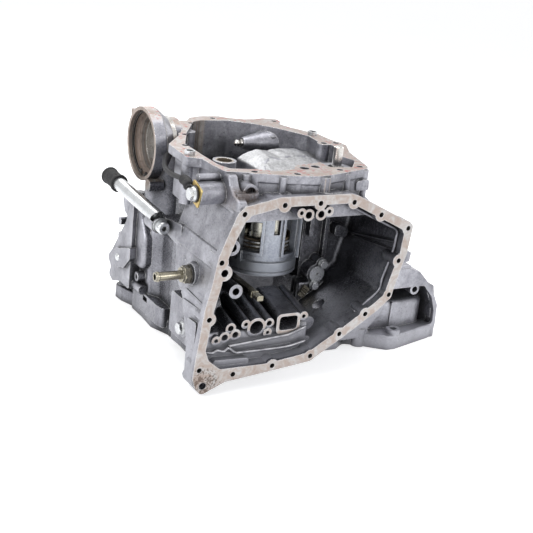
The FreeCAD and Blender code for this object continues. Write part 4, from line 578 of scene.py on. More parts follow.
@dataclass(frozen=True)
class CaseFinish(CastSkin):
    """The main casting: cast skin, machined faces with stains, and the ringed axle bore."""

    machined: Colour = (0.50, 0.49, 0.485)
    rust: Colour = (0.37, 0.285, 0.24)
    pink: Colour = (0.42, 0.12, 0.11)
    oil: Colour = (0.16, 0.135, 0.115)
    mud: Colour = (0.10, 0.068, 0.05)
    bore: Colour = (0.42, 0.34, 0.29)
    axle_y: float = 0.094
    axle_z: float = 0.238
    bore_radius: float = 0.0560
    bore_end_x: float = -0.062
    collar_x: float = -0.1638
    collar_radius: float = 0.062
    bay_face_y: float = -0.1658
    top_face_z: float = 0.2618
    foot_face_z: float = 0.0002
    ports_y: float = -0.1500
    upper_ports_y: float = -0.1590
    muddy_corner: Flat = (-0.178, 0.016)
    face_blur: float = 0.0003

    def make(self) -> Material:
        """Build the material.

        Returns:
            The finished material.
        """
        shader = Shader(self.name)
        spot = self._survey(shader)
        colour, rough, height = self.skin(shader)
        deep, bay_floor = self._depths(spot)
        # Painted shade in corners and deep places, and worn edges.
        colour, corner, worn = self.shaded_and_worn(shader, colour, deep)
        # Painted light: the bay's floor is lightened towards the pale skin colour.
        colour = shader.mix(bay_floor * 0.45, colour, self.light)
        colour = shader.mix(self._gusset_foot(spot), colour, self.mud)
        top_face = spot.place[2].step(self.top_face_z - self.face_blur, self.top_face_z)
        top_face = top_face * spot.facing[2].step(0.7, 0.9)
        flat = self._milled(spot).high(top_face)
        colour = shader.mix(flat, colour, self._milled_metal(spot, top_face))
        in_bore = self._in_bore(spot)
        colour = shader.mix(in_bore, colour, self._lining(spot))

        smooth = flat.high(in_bore)
        rough = rough + corner * 0.2 - worn * 0.12 - deep.clamp() * 0.16
        rough = rough * (1.0 - smooth) + (0.26 + spot.film * 0.22 + spot.spots * 0.1) * smooth
        height = height * (1.0 - smooth) + (spot.lines * 0.25 + spot.spots * 0.1) * smooth
        normal = shader.bump(height, self.grain_depth, shader.soft_normal(self.rounding))
        metallic = self.metallic + smooth * 0.05 - corner * 0.3 - bay_floor * 0.40
        return shader.finish(
            Base_Color=colour, Metallic=metallic.clamp(), Roughness=rough.clamp(), Normal=normal
        )

    @staticmethod
    def _distance(across: Value, up: Value) -> Value:
        """Length of an arm given by its two sides."""
        return (across * across + up * up) ** 0.5

    def _survey(self, shader: Shader) -> Survey:
        """Read the place and the facing, and lay the shared patterns.

        Args:
            shader: The casting's shader.

        Returns:
            What the stains and faces read.
        """
        place = shader.axes()
        milling = shader.stretched((0.04, 1.0, 1.0), (18.0, 0.0, 0.0))
        return Survey(
            shader, place, shader.axes(shader.facing),
            self._distance(place[1] - self.axle_y, place[2] - self.axle_z),
            lines=shader.noise(1100.0, 2.0, 0.5, 0.0, milling), film=shader.noise(62.0, 6.0, 0.7, 1.2),
            spots=shader.noise(210.0, 4.0, 0.65, 0.5), specks=shader.noise(430.0, 4.0, 0.7),
        )

    @staticmethod
    def _depths(spot: Survey) -> tuple[Value, Value]:
        """Find the deep places that take painted shade, and the floor of the control bay that takes painted
        light.

        Args:
            spot: The spot of the casting.

        Returns:
            The mask of the painted shade, with some dirt on the recessed side wall, and the mask of the
            bay's floor.
        """
        x, y, z = spot.place
        in_bay = y.step(-0.1635, -0.160) * y.step(-0.07, -0.085) * z.step(0.225, 0.215)
        inner = z.step(0.225, 0.205) * x.step(0.095, 0.082)
        # Painted shade inside the control bay, darker higher up.
        shaded = spot.shader.openness(0.05).step(0.95, 0.6) * (0.08 + z.step(0.07, 0.12) * 0.24)
        # Painted shade in deep hollows, judged by how open the surroundings are within 12 cm.
        deep = spot.shader.openness(0.12, 8).step(0.72, 0.30) * (inner * 0.85 + 0.15) + in_bay * shaded
        # The recessed wall on the left side: painted shade and dirt.
        recess = x.band(-0.152, -0.1375, 0.0015) * spot.facing[0].step(-0.5, -0.8) * z.step(0.205, 0.19)
        deep = deep + recess * y.step(-0.10, -0.085) * 0.55
        # The bay's floor, which is lightened as painted light and takes less painted shade.
        bay_floor = in_bay * z.step(0.085, 0.045) * y.step(-0.080, -0.10)
        return deep * (1.0 - bay_floor * 0.85), bay_floor

    def _milled(self, spot: Survey) -> Value:
        """Find the faces that were milled flat, apart from the top flange.

        Args:
            spot: The spot of the casting.

        Returns:
            The mask of these faces.
        """
        x, y, z = spot.place
        blur = self.face_blur
        bay_face = y.step(self.bay_face_y + blur, self.bay_face_y) * spot.facing[1].step(-0.7, -0.9)
        foot_face = z.step(self.foot_face_z + blur, self.foot_face_z)
        forward = spot.facing[1].step(-0.8, -0.95)
        half, soft = 0.0005, 0.0002
        ports = y.band(self.ports_y - half, self.ports_y + half, soft) * forward * z.band(0.05, 0.10, 0.002)
        upper_ports = y.band(self.upper_ports_y - half, self.upper_ports_y + half, soft) * forward
        collar = x.step(self.collar_x + blur, self.collar_x) * spot.facing[0].step(-0.7, -0.9)
        collar = collar * spot.from_axle.step(self.collar_radius + 0.002, self.collar_radius - 0.002)
        return bay_face.high(foot_face).high(ports).high(upper_ports).high(collar)

    def _milled_metal(self, spot: Survey, top_face: Value) -> Socket:
        """Paint milled metal with gasket remains, mud, oil and marking paint.

        Args:
            spot: The spot of the casting.
            top_face: Mask of the top flange.

        Returns:
            The colour.
        """
        shader, film = spot.shader, spot.film
        metal = shader.shade(self.machined, 0.80 + spot.lines * 0.36)
        rim = shader.edge(0.0026)
        gasket = (1.0 - rim * 0.85) * film.step(0.34, 0.60)
        metal = shader.mix(gasket * 0.75, metal, self.rust)
        corner_x, corner_z = self.muddy_corner
        from_corner = self._distance(spot.place[0] - corner_x, spot.place[2] - corner_z)
        sludge = from_corner.step(0.038, 0.010) * 0.30 + spot.specks
        metal = shader.mix(sludge.step(0.72, 0.84) * 0.80, metal, self.mud)
        metal = shader.mix(film.step(0.60, 0.72) * spot.spots.step(0.45, 0.6) * 0.7, metal, self.oil)
        painted = top_face * shader.noise(95.0, 5.0, 0.65, 1.6).step(0.56, 0.60) * (1.0 - rim * 0.4)
        metal = shader.mix(painted * 0.8, metal, self.pink)
        return shader.mix(shader.edge(0.0009) * 0.9, metal, self.worn)

    @staticmethod
    def _gusset_foot(spot: Survey) -> Value:
        """Share of dried mud where the gusset stands on the bay's wall.

        Args:
            spot: What the finish knows of a place on the casting.

        Returns:
            The share, from 0 to 0.75.
        """
        x, y, z = spot.place
        foot = x.band(-0.153, -0.119, 0.004) * y.band(-0.158, -0.118, 0.004) * z.band(0.224, 0.247, 0.004)
        return foot * (spot.film * 0.6 + spot.specks * 0.6).step(0.46, 0.66) * 0.75

    def _in_bore(self, spot: Survey) -> Value:
        """Mask of the inside of the axle tube.

        Args:
            spot: What the finish knows of a place on the casting.

        Returns:
            The mask.
        """
        x, y, z = spot.place
        outward = (y - self.axle_y) * spot.facing[1] + (z - self.axle_z) * spot.facing[2]
        within = outward.step(-0.005, -0.015).high(spot.facing[0].step(-0.7, -0.9))
        near = spot.from_axle.step(self.bore_radius + 0.0002, self.bore_radius - 0.0002)
        return near * x.step(self.bore_end_x + 0.002, self.bore_end_x - 0.002) * within

    def _lining(self, spot: Survey) -> Socket:
        """Colour of the turned rings and the oil film in the axle tube.

        Args:
            spot: What the finish knows of a place on the casting.

        Returns:
            The colour.
        """
        shader = spot.shader
        rings = shader.noise(420.0, 1.0, 0.5, 0.0, shader.stretched((1.0, 0.001, 0.001)))
        lining = shader.mix(rings.step(0.35, 0.65), self.bore, self.machined)
        return shader.mix(spot.film.step(0.42, 0.7) * 0.6, lining, self.oil)


@dataclass(frozen=True)
class BlastedWeb(CastSkin):
    """The coarse bright skin that blasting leaves on the web in the chamber."""

    def make(self) -> Material:
        """Build the material.

        Returns:
            The finished material.
        """
        shader = Shader(self.name)
        colour, rough, height = self.skin(shader)
        coarse = shader.noise(330.0, 3.0, 0.8)
        colour = shader.shade(colour, 0.35 + coarse * 1.35)
        # Painted shade in hollows within 3 cm, plus painted shade in corners and worn edges.
        colour, corner, worn = self.shaded_and_worn(shader, colour, shader.openness(0.03).step(0.5, 0.1) * 0.4)
        normal = shader.bump(height + coarse, self.grain_depth, None)
        rough = (rough + corner * 0.1 - worn * 0.05).clamp()
        return shader.finish(Base_Color=colour, Metallic=self.metallic, Roughness=rough, Normal=normal)


@dataclass(frozen=True)
class CageFinish(CastSkin):
    """The finer and bluer casting of the clutch cage, with its turned rim."""

    rim_top: float = 0.129
    turned: Colour = (0.36, 0.38, 0.42)

    def make(self) -> Material:
        """Build the material.

        Returns:
            The finished material.
        """
        shader = Shader(self.name)
        x, y, z = shader.axes()
        colour, rough, height = self.skin(shader)
        # Painted shade in hollows within 3 cm, plus painted shade in corners and worn edges.
        deep = shader.openness(0.03).step(0.5, 0.1)
        colour, corner, worn = self.shaded_and_worn(shader, colour, deep * 0.6)
        rim = z.step(self.rim_top, self.rim_top - 0.0006)
        rings = shader.noise(1800.0, 2.0, 0.5, 0.0, shader.stretched((0.002, 0.002, 1.0)))
        lathe = shader.shade(self.turned, 0.82 + rings * 0.36)
        lathe = shader.mix(shader.noise(60.0, 4.0).step(0.45, 0.75) * 0.6, lathe, self.dark)
        colour = shader.mix(rim * 0.8 * (1.0 - (corner * 0.6).clamp()), colour, lathe)
        rough = rough * (1.0 - rim) + (0.42 + rings * 0.12) * rim + corner * 0.15
        height = height * (1.0 - rim) + rings * 0.3 * rim
        normal = shader.bump(height, self.grain_depth, shader.soft_normal(self.rounding))
        return shader.finish(
            Base_Color=colour, Metallic=self.metallic, Roughness=(rough - worn * 0.1).clamp(), Normal=normal
        )


class Finishes:
    """Every finish of the gearbox housing by the name of its slot in the record."""

    def __init__(self) -> None:
        """Build the materials."""
        kinds = [
            CaseFinish("die_cast"),
            CageFinish(
                "cage_cast", light=(0.42, 0.445, 0.50), dark=(0.25, 0.27, 0.32), grain_depth=0.00020,
                rounding=0.0009,
            ),
            MetalFinish(
                "hub_steel", (0.54, 0.53, 0.46), (0.21, 0.18, 0.13), stain_share=0.6, rough=0.24,
                corner_shade_reach=0.004,
            ),
            MetalFinish(
                "bearing_steel", (0.60, 0.59, 0.575), (0.42, 0.34, 0.27), rough=0.24,
                stretch=(1.0, 0.02, 0.02),
            ),
            MetalFinish("plate_steel", (0.46, 0.46, 0.45), (0.22, 0.19, 0.15), rough=0.28),
            MetalFinish(
                "friction", (0.20, 0.155, 0.10), (0.09, 0.07, 0.05), metallic=0.0, rough=0.75, grain=2600.0,
                grain_depth=0.00015, edge_share=0.2, edge_colour=(0.30, 0.25, 0.18),
            ),
            MetalFinish(
                "passivated_steel", (0.335, 0.31, 0.245), (0.17, 0.15, 0.10), stain_share=0.7, rough=0.22,
                edge_colour=(0.74, 0.72, 0.62),
            ),
            MetalFinish("bright_steel", (0.66, 0.65, 0.63), (0.44, 0.40, 0.35), rough=0.20),
            MetalFinish(
                "zinc_steel", (0.66, 0.675, 0.69), (0.46, 0.47, 0.48), stain_share=0.5, rough=0.27,
                grain_depth=0.00005,
            ),
            MetalFinish(
                "yellow_zinc", (0.60, 0.46, 0.17), (0.42, 0.26, 0.09), stain_share=0.6, rough=0.33,
                edge_colour=(0.78, 0.70, 0.48),
            ),
            MetalFinish(
                "dark_steel", (0.085, 0.085, 0.088), (0.05, 0.045, 0.04), rough=0.36,
                edge_colour=(0.35, 0.34, 0.33),
            ),
            MetalFinish("bush_bronze", (0.46, 0.40, 0.33), (0.30, 0.24, 0.18), rough=0.30),
            RubberFinish("black_rubber"),
        ]
        self.by_slot: dict[str, Material] = {kind.name: kind.make() for kind in kinds}
        self.smooth_cast = MetalFinish(
            "smooth_cast", (0.33, 0.33, 0.35), (0.17, 0.17, 0.185), stain_share=0.9, rough=0.36,
            grain=500.0, grain_depth=0.00015, corner_shade_reach=0.008,
        ).make()
        self.rough_web = BlastedWeb("web_cast", light=(0.55, 0.555, 0.57), dark=(0.36, 0.36, 0.37)).make()

    def dress_nodes(self) -> None:
        """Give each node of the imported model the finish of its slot."""
        for entry in frame["record"]["subparts"]:
            node = frame["nodes"][entry["node"]]
            node.data.materials.clear()
            node.data.materials.append(self.by_slot[entry["material_slot"]])

    def piece(
        self, name: str, mesh: Mesh, slot: Slot, sharp: float = 38.0, material: Material | None = None
    ) -> Piece:
        """Turn a mesh into a piece that rides on the case.

        Args:
            name: Name of the piece.
            mesh: The finished mesh, which is freed.
            slot: The record's slot that its finish comes from.
            sharp: Angle in degrees over which an edge stays sharp.
            material: Its finish, where it isn't the slot's own.

        Returns:
            The piece.
        """
        limit = math.radians(sharp)
        mesh.normal_update()
        for face in mesh.faces:
            face.smooth = True
        for edge in mesh.edges:
            edge.smooth = len(edge.link_faces) == 2 and edge.calc_face_angle(math.pi) < limit
        made = placed(name, mesh, material or self.by_slot[slot.value])
        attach(made, "case")
        LOG.info("%s: %d faces", name, len(made.data.polygons))
        return made


def turned(mesh: Mesh, profile: list[Flat], start: Vector, axis: Vector, steps: int) -> list[Face]:
    """Spin a profile around an axis.

    Args:
        mesh: The mesh to add to.
        profile: Radius and distance along the axis of each point, in metres.
        start: Where the distances start.
        axis: Direction of the axis.
        steps: Number of segments.

    Returns:
        The new faces.
    """
    before = set(mesh.faces)
    along = axis.normalized()
    side = along.orthogonal().normalized()
    points = [mesh.verts.new(start + along * distance + side * radius) for radius, distance in profile]
    edges = [mesh.edges.new(pair) for pair in zip(points, points[1:])]
    bmesh.ops.spin(
        mesh, geom=points + edges, cent=start, axis=along, dvec=(0.0, 0.0, 0.0), angle=math.tau,
        steps=steps, use_merge=True, use_duplicate=False, use_normal_flip=False,
    )
    made = {vertex for face in mesh.faces if face not in before for vertex in face.verts}
    bmesh.ops.remove_doubles(mesh, verts=list(made), dist=1e-6)
    faces = [face for face in mesh.faces if face not in before]
    bmesh.ops.recalc_face_normals(mesh, faces=faces)
    return faces


def swept(mesh: Mesh, path: list[Vector], radii: list[float], sides: int) -> None:
    """Run a round section along a path.

    Args:
        mesh: The mesh to add to.
        path: Points of the centre line.
        radii: Radius at each point.
        sides: Number of segments around.
    """
    before = set(mesh.faces)
    rings: list[list[bmesh.types.BMEdge]] = []
    up = Z
    for index, point in enumerate(path):
        ahead = path[min(index + 1, len(path) - 1)] - path[max(index - 1, 0)]
        ahead.normalize()
        side = ahead.cross(up).normalized()
        up = side.cross(ahead).normalized()
        place = Matrix.Translation(point) @ Matrix((side, up, ahead)).transposed().to_4x4()
        ring = bmesh.ops.create_circle(
            mesh, cap_ends=False, segments=sides, radius=radii[index], matrix=place
        )
        rings.append(list({edge for vertex in ring["verts"] for edge in vertex.link_edges}))
    for near, far in zip(rings, rings[1:]):
        bmesh.ops.bridge_loops(mesh, edges=near + far)
    bmesh.ops.edgeloop_fill(mesh, edges=rings[0])
    bmesh.ops.edgeloop_fill(mesh, edges=rings[-1])
    bmesh.ops.recalc_face_normals(mesh, faces=[face for face in mesh.faces if face not in before])


def tapered(path: list[Vector], end: float, middle: float) -> list[float]:
    """Radii that are smaller at both ends of a path."""
    return [end] + [middle] * (len(path) - 2) + [end]


def rounded_path(places: Iterable[Point], per_run: int) -> list[Vector]:
    """Points along a smooth curve through the given places.

    Args:
        places: Places that the path passes, from the drum's axis in millimetres.
        per_run: Number of points for each run.

    Returns:
        The curve's points in the model's frame.
    """
    points = [at(*place) for place in places]
    padded = [points[0] * 2 - points[1], *points, points[-1] * 2 - points[-2]]
    curve: list[Vector] = []
    for index in range(1, len(padded) - 2):
        a, b, c, d = padded[index - 1 : index + 3]
        for step in range(per_run):
            t = step / per_run
            bend = (2 * a - 5 * b + 4 * c - d) * t * t + (3 * b - 3 * c + d - a) * t**3
            curve.append(0.5 * ((2 * b) + (c - a) * t + bend))
    curve.append(points[-1].copy())
    return curve


@dataclass
class TappedHoles:
    """Screw threads seen in the holes of the flanges."""

    finishes: Finishes
    bay_face_y: float = -130.0
    top_face_z: float = 262.0
    bay_radius: float = 3.2
    top_radius: float = 4.2
    wall_gap: float = 0.03
    thread_depth: float = 0.34
    lead_in: float = 1.6
    turns: int = 7
    pitch: float = 1.25
    bay_places: list[Flat] = field(default_factory=lambda: [
        (-100, 224), (-49, 232), (-1, 232), (46, 231), (88, 213), (132, 193), (125, 151), (118, 106),
        (86, 83), (51, 60), (12, 35), (-41, 29), (-94, 25), (-139, 36), (-132, 99), (-123, 168),
    ])
    top_places: list[Flat] = field(default_factory=lambda: [
        (-104, 29), (-24, -108), (41, -98), (76, -88), (-80, 82), (-45, 140), (0, 166), (86, 145),
        (111, 22), (-72, -92),
    ])

    def _thread(self, mesh: Mesh, mouth: Vector, inward: Vector, radius: float) -> None:
        """Line a hole with a threaded wall.

        Args:
            mesh: The mesh to add to.
            mouth: Centre of the hole's mouth.
            inward: Direction into the hole.
            radius: Radius of the drilled hole in millimetres.
        """
        root, crest = (radius - self.wall_gap) / 1000, (radius - self.thread_depth) / 1000
        profile = []
        for turn in range(self.turns):
            foot = self.lead_in + turn * self.pitch
            profile.append((root, foot / 1000))
            profile += [(crest, (foot + self.pitch * share) / 1000) for share in (0.45, 0.55)]
        profile.append((root, (self.lead_in + self.turns * self.pitch) / 1000))
        faces = turned(mesh, profile, mouth, inward, 20)
        bmesh.ops.reverse_faces(mesh, faces=[
            face for face in faces if face.normal.dot(self._outward(face, mouth, inward)) > 0.0
        ])

    @staticmethod
    def _outward(face: Face, mouth: Vector, inward: Vector) -> Vector:
        """Direction from the hole's axis to a face."""
        arm = face.calc_center_median() - mouth
        return arm - inward * arm.dot(inward)

    def build(self) -> None:
        """Build the threads of both flanges."""
        mesh = bmesh.new()
        for x, z in self.bay_places:
            self._thread(mesh, at(x, self.bay_face_y, z), Y, self.bay_radius)
        for x, y in self.top_places:
            self._thread(mesh, at(x, y, self.top_face_z), -Z, self.top_radius)
        self.finishes.piece("hole_threads", mesh, Slot.DARK_STEEL, 20.0)


@dataclass
class CastMarks:
    """Raised lips, ridges and ejector pads that the die leaves on the casting."""

    finishes: Finishes
    pad_rise: float = 0.00045
    pad_slope: float = 0.0006
    lip_radius: float = 0.0022
    pads: list[tuple[Point, Point, float]] = field(default_factory=lambda: [
        ((-115.4, -40, 200), (-0.93, 0.0, 0.34), 4.0),
        ((-129.5, -46, 142), (-0.98, 0.0, 0.15), 4.5),
        ((-136.7, -104, 104), (-0.98, 0.0, 0.14), 4.0),
        ((-142.1, -112, 50), (-0.99, 0.0, 0.08), 5.0),
    ])
    lip: list[Point] = field(default_factory=lambda: [
        (52, -118, 222), (70, -118, 213.5), (108, -118, 196), (124, -118, 187), (124.5, -118, 176),
        (123, -118, 158.5), (117.5, -118, 139), (112.5, -118, 123), (111, -118, 109), (97, -118, 96.5),
        (77, -118, 81.5),
    ])
    wall_ridges: list[tuple[Point, Point]] = field(default_factory=lambda: [
        ((120.6, -17, 149.0), (124.6, -118, 160.5)), ((120.6, -17, 151.0), (125.0, -118, 172.0)),
        ((108.2, -60, 96.0), (110.8, -118, 105.5)), ((86.8, -60, 78.5), (89.6, -118, 88.8)),
        ((51.0, -92, 59.6), (52.4, -118, 64.6)),
    ])
    plate_ridges: list[list[Point]] = field(default_factory=lambda: [
        [(-134.9, -69.4, 115.2), (-135.1, -92.4, 114.2), (-135.2, -116.0, 113.3)],
        [(-137.3, -68.8, 101.7), (-137.1, -87.9, 103.1), (-136.8, -112.0, 104.9)],
    ])
    steps_y: float = -115.4
    steps: list[list[Flat]] = field(default_factory=lambda: [
        [(-126.0, 51.2), (-116.9, 49.2), (-110.7, 51.6), (-101.8, 49.4), (-95.8, 53.0), (-86.8, 46.6),
         (-75.8, 45.1), (-20.4, 44.7), (-0.9, 47.0), (12.7, 50.0)],
        [(-95.0, 55.0), (-87.9, 56.0), (-22.5, 60.2), (-12.7, 61.4), (9.9, 69.0)],
    ])

    def _pad(self, mesh: Mesh, place: Point, way: Point, radius: float) -> None:
        """Add a low round pad with a rounded rim.

        Args:
            mesh: The mesh to add to.
            place: Centre of the pad on the surface.
            way: Direction the pad faces.
            radius: Its radius.
        """
        wide, rise, slope = radius / 1000, self.pad_rise, self.pad_slope
        profile = [
            (wide + slope, -rise), (wide + slope * 0.6, rise * 0.35), (wide, rise * 0.9),
            (wide - slope, rise), (0.0, rise),
        ]
        turned(mesh, profile, at(*place), Vector(way).normalized(), 28)

    def build(self) -> None:
        """Build the pads, the ridges and the bright worn edges."""
        mesh = bmesh.new()
        for pad in self.pads:
            self._pad(mesh, *pad)
        self.finishes.piece("ejector_pads", mesh, Slot.DIE_CAST)
        mesh = bmesh.new()
        path = rounded_path(self.lip, 5)
        swept(mesh, path, [self.lip_radius] * len(path), 12)
        for start, end in self.wall_ridges:
            run = [at(*start).lerp(at(*end), share / 8) for share in range(9)]
            swept(mesh, run, [0.0008] + [0.0016] * 8, 10)
        for points in self.plate_ridges:
            path = rounded_path(points, 5)
            swept(mesh, path, tapered(path, 0.0006, 0.0013), 10)
        self.finishes.piece("cast_ridges", mesh, Slot.DIE_CAST)
        mesh = bmesh.new()
        for points in self.steps:
            path = rounded_path([(x, self.steps_y, z) for x, z in points], 6)
            swept(mesh, path, tapered(path, 0.0010, 0.0021), 14)
        self.finishes.piece("bay_step_edges", mesh, Slot.DIE_CAST, material=self.finishes.smooth_cast)


@dataclass
class ChamberWeb:
    """The rough, bright upper skin of the inclined web in the chamber."""

    finishes: Finishes
    ridge: list[Flat] = field(default_factory=lambda: [
        (-11.4, 233.0), (-4, 238), (4, 241.5), (15, 244.6), (24, 243.6), (31, 242), (38, 244), (46, 244.7),
        (70, 244.7), (86, 240), (104, 239),
    ])
    slope: list[Flat] = field(default_factory=lambda: [(-84, 213), (56, 253), (64, 253)])
    room: list[Flat] = field(default_factory=lambda: [
        (-11, -74), (20, -69), (38, -63), (66, -41), (84, -21), (101, 9), (91, 33), (93, 62), (-11, 62),
    ])
    corner: Flat = (-11.0, -83.0)
    reach: Flat = (115.0, 146.0)
    spacing: float = 1.5
    wall: float = 0.0022

    @staticmethod
    def _level(outline: list[Flat], place: float) -> float:
        """Height of a broken line over a place, in millimetres."""
        for (near, low), (far, high) in zip(outline, outline[1:]):
            if near <= place <= far:
                return low + (place - near) * (high - low) / (far - near)
        return outline[-1][1]

    def _inside(self, x: float, y: float) -> bool:
        """Whether a place lies in the room.

        Args:
            x: Distance to the right of the drum's axis, in millimetres.
            y: Distance to the back of the drum's axis, in millimetres.

        Returns:
            True inside the room's outline.
        """
        inside = False
        for (x0, y0), (x1, y1) in zip(self.room, self.room[1:] + self.room[:1]):
            if (y0 > y) != (y1 > y) and x < x0 + (y - y0) * (x1 - x0) / (y1 - y0):
                inside = not inside
        return inside

    def _skin(self, x: float, y: float) -> float:
        """Level of the skin, which bulges over the web and rounds its crest.

        Args:
            x: Distance to the right of the drum's axis, in millimetres.
            y: Distance to the back of the drum's axis, in millimetres.

        Returns:
            Height over the lower flange in millimetres.
        """
        ridge = self._level(self.ridge, x)
        slope = self._level(self.slope, y)
        blend = max(0.0, 1.0 - abs(ridge - slope) / 5.0)
        wave = math.sin(x * 0.31 + y * 0.17) + math.sin(x * 0.13 - y * 0.29 + 2.0)
        lumps = noise.noise(Vector((x, y, 0.0)) * 0.16) + 0.5 * noise.noise(Vector((x, y, 9.0)) * 0.45)
        return min(ridge, slope) + 0.9 - 1.1 * blend * blend + 0.16 * wave + 0.5 * lumps

    def build(self) -> None:
        """Build the skin."""
        mesh = bmesh.new()
        columns, rows = (int(length / self.spacing) for length in self.reach)
        grid: dict[tuple[int, int], bmesh.types.BMVert] = {}
        for column in range(columns + 1):
            for row in range(rows + 1):
                x = self.corner[0] + column * self.spacing
                y = self.corner[1] + row * self.spacing
                if self._inside(x, y):
                    grid[column, row] = mesh.verts.new(at(x, y, self._skin(x, y)))
        for (column, row), corner in grid.items():
            near = ((column + 1, row), (column + 1, row + 1), (column, row + 1))
            others = [grid.get(key) for key in near]
            if all(others):
                mesh.faces.new([corner, *others])
        skirt = bmesh.ops.extrude_edge_only(mesh, edges=[edge for edge in mesh.edges if edge.is_boundary])
        fallen = [item for item in skirt["geom"] if isinstance(item, bmesh.types.BMVert)]
        bmesh.ops.translate(mesh, verts=fallen, vec=-Z * self.wall)
        bmesh.ops.recalc_face_normals(mesh, faces=mesh.faces)
        self.finishes.piece("web_skin", mesh, Slot.DIE_CAST, 80.0, self.finishes.rough_web)


@dataclass
class SleevedArm:
    """The rubber-sleeved arm that runs from the clamp bolt along the chamber's wall."""

    finishes: Finishes
    route: list[Point] = field(default_factory=lambda: [
        (-144.5, -74, 240), (-141, -64, 241), (-136, -50, 240), (-133, -30, 238), (-131, 2, 234),
        (-127, 30, 233), (-119, 52, 234), (-108, 74, 236), (-97, 90.5, 237),
    ])
    core_radius: float = 3.1
    sleeve_radius: float = 5.6
    ring_rise: float = 0.55
    sleeve_start: int = 8
    sleeve_end: float = 0.36
    eye_profile: list[Flat] = field(default_factory=lambda: [
        (0.0042, 0.0), (0.0095, 0.0), (0.0098, 0.0006), (0.0098, 0.0018), (0.0095, 0.0024),
        (0.0042, 0.0024), (0.0042, 0.0),
    ])
    eye_place: Point = (-140.6, -84.0, 236.0)
    shank_place: Point = (-141.8, -72.5, 239.0)
    shank_size: Point = (0.0024, 0.012, 0.010)
    shank_bevel: float = 0.0007

    def build(self) -> None:
        """Build the arm in place of its plain solid."""
        path = rounded_path(self.route, 14)
        pieces = [self._core(path), self._sleeve(path), self._eye()]
        for piece in pieces:
            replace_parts(piece, "sleeved_arm")

    def _core(self, path: list[Vector]) -> Piece:
        """The bare rubber cord inside.

        Args:
            path: Middle line of the arm, in metres.

        Returns:
            The cord.
        """
        mesh = bmesh.new()
        swept(mesh, path, [self.core_radius / 1000] * len(path), 20)
        return self.finishes.piece("arm_core", mesh, Slot.BLACK_RUBBER)

    def _sleeve(self, path: list[Vector]) -> Piece:
        """The thicker sleeve with its rings, over the front of the arm.

        Args:
            path: Middle line of the arm, in metres.

        Returns:
            The sleeve.
        """
        covered = path[self.sleeve_start : int((len(path) - 1) * self.sleeve_end)]
        fine: list[Vector] = []
        for near, far in zip(covered, covered[1:]):
            fine += [near.lerp(far, step / 4) for step in range(4)]
        radii = []
        for index in range(len(fine)):
            ring = 0.5 + 0.5 * math.cos(index * math.tau / 5)
            end = min(1.0, index / 3, (len(fine) - 1 - index) / 3)
            radii.append((self.sleeve_radius * (0.86 + 0.14 * end) + self.ring_rise * ring * end) / 1000)
        mesh = bmesh.new()
        swept(mesh, fine, radii, 24)
        return self.finishes.piece("arm_sleeve", mesh, Slot.BLACK_RUBBER, 50.0)

    def _eye(self) -> Piece:
        """The steel eye under the clamp bolt and its shank.

        Returns:
            The eye with its shank.
        """
        mesh = bmesh.new()
        turned(mesh, self.eye_profile, at(*self.eye_place), -X, 40)
        shank = bmesh.ops.create_cube(mesh, size=1.0)["verts"]
        size = Matrix.Diagonal((*self.shank_size, 1.0))
        place = Matrix.Translation(at(*self.shank_place)) @ size
        bmesh.ops.transform(mesh, matrix=place, verts=shank)
        edges = list({edge for vertex in shank for edge in vertex.link_edges})
        bmesh.ops.bevel(
            mesh, geom=edges, offset=self.shank_bevel, offset_type="OFFSET", segments=2, profile=0.5,
            affect="EDGES", clamp_overlap=True, material=-1,
        )
        return self.finishes.piece("arm_eye", mesh, Slot.DARK_STEEL)


@dataclass
class TubeCap:
    """The ribbed rubber cap on the back end of the breather tube."""

    finishes: Finishes
    start: Point = (-140.0, 10.0, 175.5)
    slope: float = 0.034
    tube_length: float = 146.0
    grip: float = 12.0
    bore: float = 9.1
    length: float = 37.0
    lip: tuple[Flat, ...] = ((11.6, 0.0), (12.2, 0.8), (12.2, 3.2), (11.5, 4.0))
    rib: tuple[Flat, ...] = ((10.2, 0.0), (10.9, 0.5), (10.9, 1.5), (10.2, 2.0))
    rib_start: float = 4.6
    rib_pitch: float = 2.6
    end_room: float = 6.0
    bead: tuple[Flat, ...] = ((11.6, 0.0), (12.0, 0.6), (12.0, 2.4), (10.8, 3.6))
    crown: float = 7.5

    def build(self) -> None:
        """Build the cap in place of its plain solid."""
        axis = Vector((0.0, 1.0, self.slope)).normalized()
        foot = at(*self.start) + axis * (self.tube_length - self.grip) / 1000
        profile = [(0.0, self.grip + 0.2), (self.bore, self.grip + 0.2), (self.bore, 0.0), *self.lip]
        along = self.rib_start
        while along < self.length - self.end_room:
            profile += [(radius, along + step) for radius, step in self.rib]
            along += self.rib_pitch
        profile += [(radius, along + step) for radius, step in self.bead]
        profile += [(self.crown, self.length), (0.0, self.length)]
        mesh = bmesh.new()
        turned(mesh, [(radius / 1000, distance / 1000) for radius, distance in profile], foot, axis, 56)
        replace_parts(self.finishes.piece("ribbed_cap", mesh, Slot.BLACK_RUBBER), "tube_cap")


